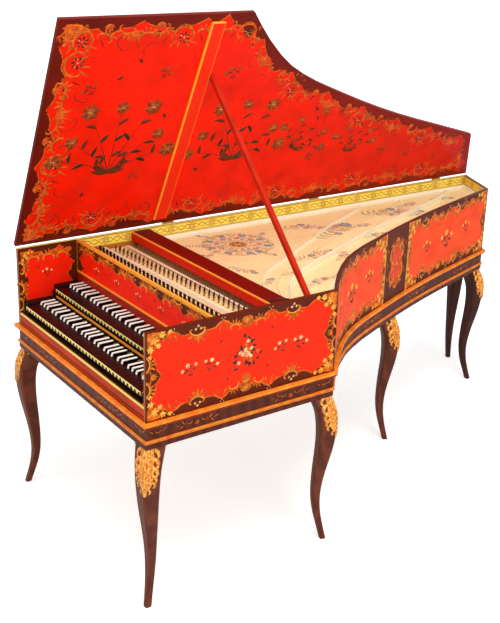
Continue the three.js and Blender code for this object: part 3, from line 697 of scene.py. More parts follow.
def panel_border(length, height, size, pitch):
    """Ornament for the border of a panel from its lower left corner: corners, shells and scrolls."""
    design = []
    for u, v, turn in [(0, 0, 0), (length, 0, 0.5), (length, height, 1), (0, height, 1.5)]:
        design += moved(corner_spray(size * 1.25), u, v, turn * math.pi)
    count = round(length / pitch)
    for i in range(1, count):
        u = length * i / count
        for v, flip in [(16 * size, False), (height - 16 * size, True)]:
            if i % 2 == 0:
                motif = fan(9, 34, 7, 1.4)
                motif += moved(acanthus(0.8), -40, 14, 0.2) + moved(acanthus(0.8), 40, 14, -0.2)
                motif += moved(fan(5, 20, 4, 0.9, "gold_light"), 0, 4)
            else:
                motif = moved(acanthus(1.1), 0, 26, math.pi) + moved(fan(5, 18, 5, 1.0), 0, 22)
                for aside, rise in [(-8, 4), (8, 4), (0, -4)]:
                    motif += moved(blossom(4.5, 5), aside, rise)
            design += moved(motif, u, v, 0, size, flip)
        mid = length * (i - 0.5) / count
        for v, flip in [(10 * size, False), (height - 10 * size, True)]:
            branch = moved(leaf(34, 7, 0.6), 2, 4, 0.3) + moved(leaf(34, 7, -0.6), -2, 4, 2.84)
            branch += moved(leaf(24, 6, 0.5), 4, 12, 0.9) + moved(leaf(24, 6, -0.5), -4, 12, 2.24)
            for aside, rise in [(-5, -5), (5, -5), (0, 1)]:
                branch.append(("cream_petal", [(aside - 1.4, rise, 3.2), (aside + 1.4, rise, 3.2)]))
            design += moved(branch, mid, v, 0, size, flip)
    for u, turn in [(14 * size, -0.5), (length - 14 * size, 0.5)]:
        for share in (0.36, 0.64):
            design += moved(acanthus(0.95), u, height * share, turn * math.pi + math.pi, size)
        design += moved(fan(5, 22, 6, 1.1), u, height / 2, turn * math.pi, size)
    return design


def new_piece(name, form, finishes, body):
    """Makes a piece of a bmesh, with its finishes, and lets it ride on its body."""
    mesh = bpy.data.meshes.new(name)
    form.to_mesh(mesh)
    form.free()
    for finish in finishes:
        mesh.materials.append(finish)
    piece = bpy.data.objects.new(name, mesh)
    bpy.context.scene.collection.objects.link(piece)
    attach(piece, body)
    return piece


def paint(name, design, lay, body, relief=0.35, roundness=0, flatness=1.2):
    """Draws every stroke as a tapering bead, flattens the beads and lays them over a face."""
    whole = bmesh.new()
    used = [colour for colour in paint_order if any(colour == found for found, _ in design)]
    for index, colour in enumerate(used):
        line = bpy.data.curves.new(name, "CURVE")
        line.dimensions = "3D"
        line.bevel_depth = 1
        line.bevel_resolution = roundness
        line.use_fill_caps = True
        for found, points in design:
            if found != colour:
                continue
            spline = line.splines.new("POLY")
            spline.points.add(len(points) - 1)
            for point, (u, v, width) in zip(spline.points, points):
                point.co = (u, v, 0, 1)
                point.radius = width / 2
        drawn = bpy.data.objects.new(name, line)
        stroke = bpy.data.meshes.new_from_object(drawn)
        for face in stroke.polygons:
            face.material_index = index
        whole.from_mesh(stroke)
        bpy.data.objects.remove(drawn)
        bpy.data.meshes.remove(stroke)
    for vert in whole.verts:
        u, v, height = vert.co
        vert.co = lay(u, v, relief * height / (abs(height) + flatness))
    bmesh.ops.recalc_face_normals(whole, faces=whole.faces)
    return new_piece(name, whole, [paints[colour] for colour in used], body)


def along_line(line, lift=0.0):
    """Lays a flat design on an upright face that follows a plan line; its run is in millimetres."""
    runs = run_lengths(line)

    def lay(u, v, h):
        run = min(max(u / 1000, 0), runs[-1])
        i = max(k for k in range(len(line) - 1) if runs[k] <= run or k == 0)
        step = (line[i + 1] - line[i]).normalized()
        outward = Vector((step.y, -step.x))
        spot = line[i] + step * (run - runs[i]) + outward * (h / 1000 + lift)
        return Vector((spot.x, spot.y, case_foot + v / 1000))
    return lay


# The walls' paintings: shells, scrolls and corner sprays in the dark borders, sprigs on the bright
# panels, a bunch of flowers on the cheek, and a medallion halfway along the bentside.
case_mm = case_height * 1000
cheek_mm = cheek_length * 1000
cheek_line = [Vector((case_right, case_front)), Vector((case_right, cheek_end))]
cheek_design = panel_border(cheek_mm, case_mm, 1.12, cheek_pitch * 1000)
cheek_sprigs = [(0.22, 112, 1.3, 0.3), (0.3, 116, 1.2, -0.4), (0.7, 116, 1.2, 0.4), (0.78, 112, 1.3, -0.3)]
for share, v, size, tilt in cheek_sprigs:
    cheek_design += moved(sprig(size), cheek_mm * share, v, tilt)
cheek_design += moved(nosegay(1.0), cheek_mm / 2, 148)
cheek_design += moved(fan(7, 44, 8, 0.9), cheek_mm / 2, 40)
cheek_design += moved(fan(5, 26, 5, 0.7, "gold_light"), cheek_mm / 2, 44)
leaf_pair = leaf(12, 5, 0.4, "dark_leaf") + leaf(10, 4, -0.5, "dark_leaf")
for share, v, turn in [(0.36, 205, 0.6), (0.62, 82, 2.2), (0.4, 70, 1.2), (0.64, 214, 2.6)]:
    cheek_design += moved(leaf_pair, cheek_mm * share, v, turn)
paint("cheek_painting", cheek_design, along_line(cheek_line), "root")

bent_mm = bent_length * 1000
medallion_mm = medallion_middle * 1000
half_mm = medallion_half * 1000
bent_design = panel_border(medallion_mm - half_mm, case_mm, 1.2, (medallion_mm - half_mm) / 5)
far_run = bent_mm - medallion_mm - half_mm
bent_design += moved(panel_border(far_run, case_mm, 1.2, far_run / 5), medallion_mm + half_mm, 0)
bent_sprigs = [(0.24, 88, 2.3), (0.13, 112, 1.5), (0.34, 124, 1.5),
               (0.77, 88, 2.3), (0.66, 112, 1.5), (0.88, 124, 1.5)]
for share, v, size in bent_sprigs:
    bent_design += moved(sprig(size, ("gold_light", "orange_petal")), bent_mm * share, v)
medallion = []
for v, flip in [(40, False), (case_mm - 40, True)]:
    shell = fan(7, 42, 9, 1.2) + moved(acanthus(1.0), -30, 34, 1.2)
    shell += moved(acanthus(1.0), 30, 34, 1.9, 1, True)
    medallion += moved(shell, 0, v, 0, 1, flip)
for share in (0.36, 0.64):
    for side in (-1, 1):
        medallion += moved(scroll(124, 2.8, 14), side * 58, case_mm * share, side * math.pi / 2)
        medallion += moved(scroll(112, 2.8, 4, "gold_light"), side * 53, case_mm * share, side * math.pi / 2)
medallion += moved(blossom(16, 6, "orange_petal", "cream_petal"), 0, case_mm / 2)
for i in range(8):
    medallion += moved(leaf(26, 8, 0.4, "orange_petal"), 0, case_mm / 2, i * math.pi / 4)
for side in (-1, 1):
    for share in (0.3, 0.5, 0.7):
        medallion += moved(leaf(24, 6, 0.5), side * 78, case_mm * share, math.pi / 2)
bent_design += moved(medallion, medallion_mm, 0)
paint("bentside_painting", bent_design, along_line(bent_outer), "root")

tail_mm = tail_line.length * 1000
tail_design = panel_border(tail_mm, case_mm, 0.85, tail_mm / 2) + moved(sprig(1.5), tail_mm / 2, 100)
paint("tail_painting", tail_design, along_line(tail_outer), "root")
spine_mm = spine_length * 1000
spine_line = [Vector((case_left, tail_end)), Vector((case_left, case_front))]
spine_design = panel_border(spine_mm, case_mm, 0.85, spine_pitch * 1000)
for share in (0.17, 0.33, 0.5, 0.67, 0.83):
    spine_design += moved(sprig(1.5), spine_mm * share, 100)
paint("spine_painting", spine_design, along_line(spine_line), "root")

# The faces that look onto the keyboards: the two case walls beside them, the nameboard above them
# and the lip board below. They are painted to match the case, with gold beads along their edges.
name_low, name_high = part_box("nameboard")
lip_low, lip_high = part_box("lip_board")
bead_gold = tint(238, 152, 48)
batten_height = 0.04
batten_top = name_low.z + batten_height


def block(form, middle, size, turned=Matrix()):
    """A rectangular block round its middle, added to a bmesh."""
    place = Matrix.Translation(middle) @ turned @ Matrix.Diagonal((*size, 1))
    return bmesh.ops.create_cube(form, size=1, matrix=place)["verts"]


def slab(name, low, high, finish, body, bevel=0.0):
    """A block between two opposite corners, with its edges rounded by the bevel."""
    form = bmesh.new()
    block(form, (Vector(low) + Vector(high)) / 2, Vector(high) - Vector(low))
    if bevel:
        bmesh.ops.bevel(form, geom=form.edges[:], affect="EDGES", offset=bevel, segments=3, profile=0.5,
                        material=-1)
    return new_piece(name, form, [finish], body)


keywell_foot = lip_high.z
keywell_back = name_low.y
keywell_height = case_top - keywell_foot
well_start = lip_low.y
well_length = keywell_back - well_start
keywell_red = lacquer(
    "keywell_lacquer",
    lambda x, y, z: [
        (z * -1 + case_top, y, well_length / 2), (y - well_start, z, keywell_height / 3),
        (y * -1 + keywell_back, z, keywell_height / 3), (z - keywell_foot + 0.03, y, well_length / 2),
    ],
    size=0.04, field=tint(250, 34, 6),
)
skin = 0.0004
for side, face, outward in [("bass", case_left + wall, 1), ("treble", case_right - wall, -1)]:
    inner, proud = sorted((face, face + outward * skin))
    slab(f"keywell_{side}_face", (inner, well_start, keywell_foot), (proud, keywell_back, case_top - 0.0005),
         keywell_red, "root")
    design = []
    for u, v, turn in [(18, 30, 0.5), (20, 95, 0.6), (26, 170, 0.55)]:
        design += moved(acanthus(1.05), u, v, turn * math.pi)
    for u in (60, 120, 175):
        design += moved(acanthus(1.05), u, 210, math.pi)
        design += moved(fan(5, 20, 6, 1.1, "orange_petal"), u + 26, 222, math.pi)
    design += moved(corner_spray(0.8), 8, 232, -0.5 * math.pi)
    design += moved(sprig(0.9), 110, 120) + moved(leaf(12, 5, 0.4, "dark_leaf"), 70, 160, 0.5)
    paint(f"keywell_{side}_painting", design, lambda u, v, h, face=face, outward=outward: Vector((
        face + outward * (skin + h / 1000), well_start + u / 1000, keywell_foot + v / 1000)), "root")


def name_overlay(tree, colour, x, y, z):
    """The plain batten along the board's foot and the gold beads above it and along its top."""
    batten = mixed(tree, speckle(tree, position(tree)[0], 30, 4), deep_red, crimson)
    colour = mixed(tree, z.short_of(batten_top + 0.0004), colour, batten)
    colour = mixed(tree, z.between(batten_top - 0.004, batten_top + 0.002), colour, bead_gold)
    return mixed(tree, z.past(name_high.z - 0.00925, 0.00025), colour, bead_gold)


name_width = name_high.x - name_low.x
name_bays = 6
dress("nameboard", lacquer(
    "nameboard_lacquer",
    lambda x, y, z: [
        (z * -1 + name_high.z, x, name_width / name_bays),
        (x - name_low.x, z, 0.06), (x * -1 + name_high.x, z, 0.06),
    ],
    size=0.045, overlay=name_overlay, field=tint(250, 34, 6),
))
name_mm = name_width * 1000
face_mm = (name_high.z - batten_top) * 1000
face_setback = 0.004
name_design = []
for i in range(name_bays):
    u = name_mm * (i + 0.5) / name_bays
    name_design += moved(acanthus(1.0), u - 34, face_mm - 24, math.pi)
    name_design += moved(acanthus(1.0), u + 34, face_mm - 24, math.pi, 1, True)
    name_design += moved(fan(5, 30, 7, 1.1), u, face_mm - 14, math.pi)
    name_design += moved(leaf(14, 6, 0.3, "dark_leaf"), u + 40, face_mm - 52, 4.0)
    name_design += moved(leaf(14, 6, 0.3, "dark_leaf"), u - 40, face_mm - 50, 5.4)
for i in range(1, name_bays):
    name_design += moved(sprig(0.75), name_mm * i / name_bays, 24)
paint("nameboard_painting", name_design, lambda u, v, h: Vector((
    name_low.x + u / 1000, keywell_back + face_setback - h / 1000, batten_top + v / 1000)), "root")


def plain_lacquer(name, colour, shade, marks=None):
    """Lacquer without a border; the marks change its colour by place."""
    finish, tree, shader = new_finish(name)
    vector, (x, y, z) = position(tree)
    surface = use_group(tree, aged, Vector=vector, Colour=colour, Shade=shade, Amount=0.6)
    shown = marks(tree, surface["Colour"], x, y, z) if marks else surface["Colour"]
    surfaced(tree, shader, shown, surface, 0.0003, 0.1, 0.02)
    return finish


lip_bands = [(0.011, 0.017), (0.0, 0.004)]
lip_top = 0.0446
lip_edge_foot = 0.041
lip_edge_depth = 0.006


def lip_overlay(tree, colour, x, y, z):
    """Two darker bands and a dark top, with a pale line along the board's upper edge."""
    height = z - lip_low.z
    for low, high in lip_bands:
        colour = mixed(tree, height.between(low, high), colour, crimson)
    colour = mixed(tree, height.past(lip_top), colour, crimson)
    upper_edge = height.past(lip_edge_foot) * y.short_of(lip_low.y + lip_edge_depth)
    return mixed(tree, upper_edge, colour, edge_cream)


dress("lip_board", plain_lacquer("lip_lacquer", tint(190, 50, 2), tint(112, 24, 2), lip_overlay))

# The printed paper that lines the case above the soundboard: yellow paper with a black arabesque
# between fine rules, pasted along all four walls, with bare varnished wood below it.
paper, paper_tree, paper_shader = new_finish("printed_paper")
paper_uv = paper_tree.nodes.new("ShaderNodeUVMap")
paper_uv.uv_map = "run"
paper_split = paper_tree.nodes.new("ShaderNodeSeparateXYZ")
paper_tree.links.new(paper_uv.outputs["UV"], paper_split.inputs["Vector"])
paper_run, paper_rise = [Measure(paper_tree, socket) for socket in paper_split.outputs[:2]]
paper_height = 0.04
paper_drop = 0.0425
paper_gap = 0.0003
paper_thickness = 0.00025
repeat = 0.19
vine_swing = 0.0085
outer_ring = 0.0125
inner_ring = 0.0062
level = paper_rise - paper_height / 2
vine_wave = (paper_run * (6 * math.pi / repeat)).wave() * vine_swing
vine = level - vine_wave
vine_line = abs(vine).ramp(0.0021, 0.0014)
second_vine = level + vine_wave
vine_line = vine_line.most(abs(second_vine).ramp(0.0016, 0.001))
ring_u = abs((paper_run / (repeat / 2)).work("PINGPONG", 1.0) - 0.5) * (repeat / 2)
ring = (ring_u * ring_u + level * level).work("SQRT")
inside_ring = ring.ramp(0.0135, 0.0125)
ring_line = abs(ring - outer_ring).ramp(0.0019, 0.0012).most(abs(ring - inner_ring).ramp(0.0024, 0.0016))
buds = speckle(paper_tree, paper_uv.outputs["UV"], 210, 1).ramp(0.58, 0.62) * 0.4
ink = (vine_line.most(buds) * (inside_ring * -1 + 1)).most(ring_line)
ink = ink * abs(level).ramp(0.0145, 0.0138)
rule = abs(abs(level) - 0.0165).ramp(0.001, 0.0005).most(abs(level).ramp(0.0188, 0.0192))
paper_vector, _ = position(paper_tree)
age = speckle(paper_tree, paper_vector, 26, 5).ramp(0.35, 0.75)
paper_colour = mixed(paper_tree, age, tint(255, 230, 88), tint(255, 208, 66))
paper_colour = mixed(paper_tree, ink * 0.85, paper_colour, tint(122, 72, 6))
paper_colour = mixed(paper_tree, rule, paper_colour, tint(52, 34, 16))
feed(paper_tree, paper_colour, paper_shader.inputs["Base Color"])
feed(paper_tree, age * 0.15 + 0.55, paper_shader.inputs["Roughness"])
bump(paper_tree, paper_shader, speckle(paper_tree, paper_vector, 400, 3), 0.0002)


def wall_strip(name, line, foot, height, thickness, finish):
    """A strip that stands along a plan line, its back to the line's right hand, with a run map."""
    form = bmesh.new()
    runs = run_lengths(line)
    verts = [form.verts.new((point.x, point.y, foot)) for point in line]
    edges = [form.edges.new(pair) for pair in zip(verts, verts[1:])]
    raised = bmesh.ops.extrude_edge_only(form, edges=edges)["geom"]
    bmesh.ops.translate(form, verts=[item for item in raised if isinstance(item, bmesh.types.BMVert)],
                        vec=(0, 0, height))
    layer = form.loops.layers.uv.new("run")
    for face in form.faces:
        for loop in face.loops:
            place = loop.vert.co
            i = min(range(len(line)), key=lambda k: (line[k] - place.xy).length)
            loop[layer].uv = (runs[i], place.z - foot)
    bmesh.ops.solidify(form, geom=form.faces[:], thickness=thickness)
    bmesh.ops.recalc_face_normals(form, faces=form.faces)
    return new_piece(name, form, [finish], "root")


def inward(line, gap):
    """The same plan line moved a little to its left hand."""
    moved_line = []
    for i, point in enumerate(line):
        before = (point - line[i - 1]).normalized() if i else (line[1] - point).normalized()
        after = (line[i + 1] - point).normalized() if i + 1 < len(line) else before
        first, second = Vector((-before.y, before.x)), Vector((-after.y, after.x))
        moved_line.append(point + (first + second) * gap / (1 + first.dot(second)))
    return moved_line


name_back = name_high.y + 0.001
inside_line = [Vector((case_right - wall, name_back)), Vector((case_right - wall, bent_inner[0].y))]
inside_line += bent_inner[1:-1]
inside_line += [tail_inner[0], tail_inner[-1], Vector((case_left + wall, name_back))]
wall_strip("paper_band", inward(inside_line, paper_gap), case_top - paper_drop, paper_height,
           paper_thickness, paper)

# The stand's moulded apron: dark polished walnut, its two bead mouldings gilt, and small gilt sprays
# painted along the flat frieze between them.
stand_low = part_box("stand_frame")[0]
walnut = tint(104, 42, 22)
walnut_dark = tint(58, 22, 12)
stand_red = tint(140, 34, 10)

grain_group, grain_in, grain_out = new_group(
    "wood_grain",
    [("Vector", "NodeSocketVector", None), ("Light", "NodeSocketColor", (0.5, 0.3, 0.1, 1)),
     ("Dark", "NodeSocketColor", (0.2, 0.1, 0.05, 1)), ("Scale", "NodeSocketFloat", 30.0)],
    [("Colour", "NodeSocketColor"), ("Roughness", "NodeSocketFloat"), ("Height", "NodeSocketFloat")],
)
grain_wave = grain_group.nodes.new("ShaderNodeTexWave")
grain_wave.bands_direction = "X"
grain_wave.inputs["Distortion"].default_value = 6
grain_wave.inputs["Detail"].default_value = 3
grain_wave.inputs["Detail Scale"].default_value = 1.2
grain_group.links.new(grain_in.outputs["Vector"], grain_wave.inputs["Vector"])
grain_group.links.new(grain_in.outputs["Scale"], grain_wave.inputs["Scale"])
grain_pores = speckle(grain_group, grain_in.outputs["Vector"], 320, 3, (1, 0.06, 1))
grain_share = Measure(grain_group, grain_wave.outputs["Fac"]) * 0.5 + grain_pores * 0.5
feed(grain_group, mixed(grain_group, grain_share, grain_in.outputs["Light"], grain_in.outputs["Dark"]),
     grain_out.inputs["Colour"])
feed(grain_group, grain_pores * 0.25 + 0.22, grain_out.inputs["Roughness"])
feed(grain_group, grain_share, grain_out.inputs["Height"])


def grained(name, light, dark, scale, turn=(0, 0, 0), rough=0.0, coat=0.0, depth=0.0003, marks=None):
    """Wood whose grain runs along Y before it is turned, with its pores and rings."""
    finish, tree, shader = new_finish(name)
    vector, _ = position(tree, turn=turn)
    wood = use_group(tree, grain_group, Vector=vector, Light=light, Dark=dark, Scale=scale)
    colour = wood["Colour"]
    if marks:
        colour = marks(tree, colour, *position(tree)[1])
    surfaced(tree, shader, colour, wood, depth, 0.12, coat, rough=rough)
    return finish


cove = (0.0705, 0.0785)
gilt_levels = [(0.0195, 0.0235), (0.025, 0.0305), (0.0682, 0.0702)]
top_fillet = 0.081


def gilt_beads(tree, colour, x, y, z):
    """Rubbed gold on the beads and fillets, by their height, and red in the hollow under the top."""
    height = z - stand_low.z
    rubbed = speckle(tree, position(tree)[0], 38, 5).ramp(0.3, 0.7)
    gold = mixed(tree, rubbed, tint(255, 156, 48), tint(234, 104, 22))
    colour = mixed(tree, height.between(*cove), colour, stand_red)
    for low, high in gilt_levels:
        colour = mixed(tree, height.between(low, high), colour, gold)
    return mixed(tree, height.past(top_fillet), colour, gold)


dress("stand_frame", grained(
    "gilt_walnut", walnut, walnut_dark, 9, (0.2, 0, 0.9), 0.08, 0.05, marks=gilt_beads))

spray_rise = 49
spray_level = (stand_low.z - case_foot) * 1000 + spray_rise
spray_pitch = 430
end_inset = 40


def frieze_spray(width):
    """A low running spray that spreads both ways from a small shell."""
    design = moved(fan(5, 13, 4, 1.2), 0, -6)
    arm = scroll(34, 2.6, 2.6)
    for length, thick, bend, u, v, turn in [
            (16, 4, 0.6, 14, 2, 0.5), (14, 3.5, -0.6, 20, -2, -0.4), (18, 3, 0.5, 30, 0, 0.1)]:
        arm += moved(leaf(length, thick, bend), u, v, turn)
    for side in (1, -1):
        mirrored = [(colour, [(side * u, v, w) for u, v, w in points]) for colour, points in arm]
        design += moved(mirrored, side * 24, 0)
    return moved(design, 0, 0, 0, width)


apron_lines = {
    "front": [Vector((case_left, case_front)), Vector((case_right, case_front))],
    "cheek": cheek_line,
    "bentside": bent_outer,
    "tail": tail_outer,
    "spine": spine_line,
}
for side, line in apron_lines.items():
    length = run_lengths(line)[-1] * 1000
    count = max(1, round(length / spray_pitch))
    design = []
    for i in range(count):
        design += moved(frieze_spray(1.15), length * (i + 0.5) / count, spray_level)
    for u in (end_inset, length - end_inset):
        end_scroll = scroll(34, 2.6, 2.6) + moved(leaf(22, 4, 0.6), 14, 2, 0.3)
        end_scroll += moved(leaf(16, 3.5, -0.6), -16, 2, 2.8)
        design += moved(end_scroll, u, spray_level)
    paint(f"frieze_{side}", design, along_line(line, 0.0002), "root", 0.3)

# The six cabriole legs: square walnut sections sawn to a double curve and rounded over, with a carved
# and gilt acanthus leaf on the outer edge of every knee.


def painted_shade_towards_tail(tree, colour, x, y, z):
    """Painted shade: the legs' colour darkens towards the tail."""
    return mixed(tree, y.ramp(0.1, 1.0) * 0.7, colour, tint(34, 12, 14))


upright = (math.pi / 2, 0, 0)
# The legs' walnut carries painted shade that deepens towards the tail.
leg_wood = grained("leg_walnut", tint(118, 58, 36), tint(70, 30, 20), 14, upright, 0.08, 0.03,
                   marks=painted_shade_towards_tail)
leg_nodes = [name for name in nodes if name.startswith("leg_")]


def leg_profile(form):
    """The leg's points at each of its levels, from the top down."""
    levels = {}
    for vert in form.verts:
        levels.setdefault(round(vert.co.z, 4), []).append(vert.co.copy())
    return [levels[level] for level in sorted(levels, reverse=True)]


gilding, gilding_tree, gilding_shader, _ = toned_finish(
    "carved_gilding", tint(246, 178, 72), tint(204, 98, 18), 120, 4, 0.2, 0.3, 0.35, span=(0.4, 0.62))
bump(gilding_tree, gilding_shader, speckle(gilding_tree, position(gilding_tree)[0], 500, 3), 0.0006)
paints["carved_gold"] = gilding
# A darker gold, laid in the valleys between the leaf's ribs as painted shade.
paint_finish("carved_painted_shade", tint(196, 92, 16), tint(120, 48, 8), 0.2)
paint_order += ["carved_gold", "carved_painted_shade"]


def hooked_lobe(side, u, v, size):
    """One lobe of the leaf's edge: it falls outwards from the ribs and curls back at its tip."""
    points = [(0, 0, 9), (8, -3, 13), (15, -10, 14), (18, -19, 12), (14, -27, 9), (7, -27, 6)]
    return [("carved_gold", [(side * (u + size * a), v + size * b, size * w) for a, b, w in points])]


knee_leaf = []
for rib in range(-3, 4):
    knee_leaf.append(("carved_gold", [
        (rib * 6, 2, 8), (rib * 7.5, -26, 9.5), (rib * 8.5, -58, 10.5), (rib * 8, -92, 10),
        (rib * 6, -120 + abs(rib) * 3, 9), (rib * 4, -136 + abs(rib) * 5, 7)]))
# Narrow dark strokes in the valleys between the ribs: painted shade.
for rib in range(-3, 3):
    knee_leaf.append(("carved_painted_shade", [
        ((rib + 0.5) * 6.2, -4, 3), ((rib + 0.5) * 8.2, -40, 5.2), ((rib + 0.5) * 8.4, -80, 5.2),
        ((rib + 0.5) * 6.4, -112, 3.4)]))
for side in (-1, 1):
    for drop, size in [(6, 1.0), (30, 1.15), (55, 1.15), (80, 1.0), (101, 0.75)]:
        knee_leaf += hooked_lobe(side, 25 - drop * 0.04, -drop, size)
    knee_leaf += hooked_lobe(side, 5, -121, 0.7)
    shoulder = [(side * (22 + 8 * k), -3 + 3 * math.sin(k * 0.9), 8 - k * 0.6) for k in range(6)]
    volute = [(side * (60 + 6 * math.cos(k)), -6 + 6 * math.sin(k), 6.5 - 0.6 * k) for k in range(6)]
    knee_leaf += [("carved_gold", shoulder), ("carved_gold", volute)]
knee_leaf.append(("carved_gold", [(0, -118, 12), (0, -134, 15), (0, -146, 11)]))
ridge_width = 8
sunk = 0.0015

for node in leg_nodes:
    form = bmesh.new()
    form.from_mesh(nodes[node].data)
    bmesh.ops.remove_doubles(form, verts=form.verts, dist=weld)
    bmesh.ops.join_triangles(form, faces=form.faces[:], angle_face_threshold=0.8, angle_shape_threshold=3.1)
    crease = form.edges.layers.float.new("crease_edge")
    top = max(vert.co.z for vert in form.verts)
    for edge in form.edges:
        level = edge.verts[0].co.z
        flat = abs(edge.verts[1].co.z - level) < flush
        if flat and (level > top - flush or level < flush):
            edge[crease] = 1.0
        elif not flat:
            edge[crease] = 0.7
    levels = leg_profile(form)
    leg = new_piece(f"{node}_rounded", form, [leg_wood], "root")
    smoothing = leg.modifiers.new("rounding", "SUBSURF")
    smoothing.levels = smoothing.render_levels = 2
    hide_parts(node)

    middle = [sum(points, Vector()) / len(points) for points in levels]
    outward = Vector((middle[2].x - middle[-4].x, middle[2].y - middle[-4].y)).normalized()
    edge_line = [max(points, key=lambda p, c=centre: (p - c).xy.dot(outward))
                 for points, centre in zip(levels, middle)]
    edge_line = [centre + Vector((*outward, 0)) * (point - centre).xy.dot(outward)
                 for point, centre in zip(edge_line, middle)]

    def lay_on_knee(u, v, h, edge_line=edge_line, outward=outward):
        z = min(max(edge_line[0].z + v / 1000, edge_line[-1].z), edge_line[0].z)
        below = next(k for k in range(1, len(edge_line)) if edge_line[k].z <= z)
        high, low = edge_line[below - 1], edge_line[below]
        ridge_point = high.lerp(low, (high.z - z) / (high.z - low.z))
        aside = Vector((-outward.y, outward.x)) * (1 if u > 0 else -1)
        along_face = (aside - outward).normalized()
        off_face = (aside + outward).normalized()
        blunt = min(1, abs(u) / ridge_width)
        normal = (off_face * blunt + outward * (1 - blunt)).normalized()
        place = ridge_point.xy + along_face * (abs(u) / 1000) + normal * (h / 1000 + sunk * (2 * blunt - 1))
        least, most = cad_box
        return Vector((min(max(place.x, least[0]), most[0]), min(max(place.y, least[1]), most[1]), z))

    carving = paint(f"{node}_acanthus", knee_leaf, lay_on_knee, "root", 15, 2, 9)

# Inside the case: the bottom board and the belly rail are plain beech, the soundboard is spruce, and the
# wrestplank is oak with a spruce veneer. All of them are left bare and have darkened with age.
beech = tint(214, 176, 122)
beech_ring = tint(160, 112, 66)
across_case = (0, 0, math.pi / 2)
bare_beech = grained("bare_beech", beech, beech_ring, 22, across_case, 0.25)
for node in ("bottom_board", "belly_rail"):
    dress(node, bare_beech)


def at(x, y, z):
    """A point of the instrument from the spine's outer front corner, in millimetres."""
    return Vector((case_left + x / 1000, case_front + y / 1000, z / 1000))


def aged_stains(tree, colour, x, y, z):
    """Broad faint stains, where the bare wood has darkened."""
    stains = speckle(tree, position(tree)[0], 7, 5).ramp(0.5, 0.8) * 0.25
    return mixed(tree, stains, colour, tint(226, 160, 92))


dress("soundboard", grained(
    "spruce_soundboard", tint(255, 242, 190), tint(255, 222, 156), 42, depth=0.0001, marks=aged_stains))
dress("wrestplank", grained(
    "spruce_veneer", tint(255, 226, 164), tint(236, 190, 126), 36, across_case, 0.1, marks=aged_stains))

# The soundboard's painting, in thin tempera: a blue and a gilt ring round the rose, a wreath of blossoms
# about them, and loose sprays of flowers over the rest of the board.
board_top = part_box("soundboard")[1].z * 1000
rose_low, rose_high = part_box("rose")
rose_u = ((rose_low.x + rose_high.x) / 2 - case_left) * 1000
rose_v = ((rose_low.y + rose_high.y) / 2 - case_front) * 1000
lifted = 0.06
soft_paints = ["blush_petal", "blue_petal", "rose_petal", "cream_petal"]


def lay_on_board(u, v, h):
    return at(u, v, board_top + lifted + h)


def flower(size, kind):
    """A blossom of two rings of petals."""
    colour = soft_paints[kind % 4]
    outer = blossom(size, 7, colour, "orange_petal")
    inner = blossom(size * 0.55, 5, soft_paints[(kind + 3) % 4], "orange_petal")
    return outer + moved(inner, 0, 0, 0.4)


def spray(length, kind, curve=0.4):
    """One long stem with leaves in pairs and blossoms towards its end, from its foot along u."""
    motif = []
    stem = []
    for i in range(9):
        t = i / 8
        stem.append((length * t, length * curve * t * t * 0.5, 1.6 - t))
        if 0 < i < 8:
            for side in (-1, 1):
                motif += moved(leaf(length * 0.17, length * 0.035, 0.5 * side, "pale_leaf"),
                               stem[-1][0], stem[-1][1], curve * t + side * 0.8)
    motif.append(("pale_leaf", stem))
    heads = [(1, 0, 0.12), (0.82, 0.12, 0.1), (0.8, -0.1, 0.09), (0.62, 0.05, 0.1), (0.55, -0.12, 0.07)]
    for i, (t, aside, size) in enumerate(heads):
        motif += moved(flower(length * size, kind + i), length * t, length * (curve * t * t * 0.5 + aside))
    return motif


wreath = []
for i in range(34):
    turn = 2 * math.pi * i / 34
    size, main_ring, bud_ring = (18, 112, 134) if i % 2 else (15, 82, 64)
    wreath += moved(flower(size, i), *turned_spot(main_ring, 0, turn))
    wreath += moved(flower(9, i + 1), *turned_spot(bud_ring, 0, turn + 0.09))
    for radius, tilt in ((74, 0.5), (118, -0.4), (122, 0.5)):
        wreath += moved(leaf(26, 5, 0.4, "pale_leaf"), *turned_spot(radius, 0, turn + 0.1), turn + tilt)
for radius, width, colour in ((48, 3.5, "blue_petal"), (54, 1.4, "gold_leaf")):
    wreath.append((colour, [(*turned_spot(radius, 0, math.pi * i / 20), width) for i in range(41)]))
for turn in (0.2, 1.9, 3.5, 5.0):
    wreath += moved(spray(74, 1, 0.3), *turned_spot(112, 0, turn), turn)
board_design = moved(wreath, rose_u, rose_v)
board_sprays = [
    (110, 1040, 190, 1.5, 0), (150, 1180, 120, 1.1, 2), (300, 1110, 260, 1.75, 1), (240, 1330, 120, 1.3, 3),
    (470, 880, 170, 1.7, 2), (430, 1000, 110, 1.4, 0), (735, 740, 130, 2.1, 2), (690, 850, 90, 1.4, 1),
    (400, 640, 120, 0.2, 1), (120, 1500, 230, 1.55, 0), (150, 1560, 140, 1.2, 2), (110, 1720, 130, 1.5, 3),
    (560, 1020, 120, 2.0, 3), (330, 600, 80, 2.6, 1), (120, 620, 100, 1.2, 0), (640, 620, 90, 1.9, 1),
    (590, 740, 110, 1.8, 0), (390, 1290, 130, 1.8, 2), (240, 1660, 130, 1.6, 1), (90, 1950, 120, 1.5, 2),
    (800, 640, 70, 1.2, 3),
]
for u, v, length, turn, kind in board_sprays:
    board_design += moved(spray(length, kind, 0.35 if kind % 2 else -0.35), u, v, turn)
paint("soundboard_painting", board_design, lay_on_board, "root", 0.16)

# The rose: gothic tracery, cast in a lead alloy and gilt. It is set into the soundboard in the middle of
# the painted wreath.
dress("rose", gilding)

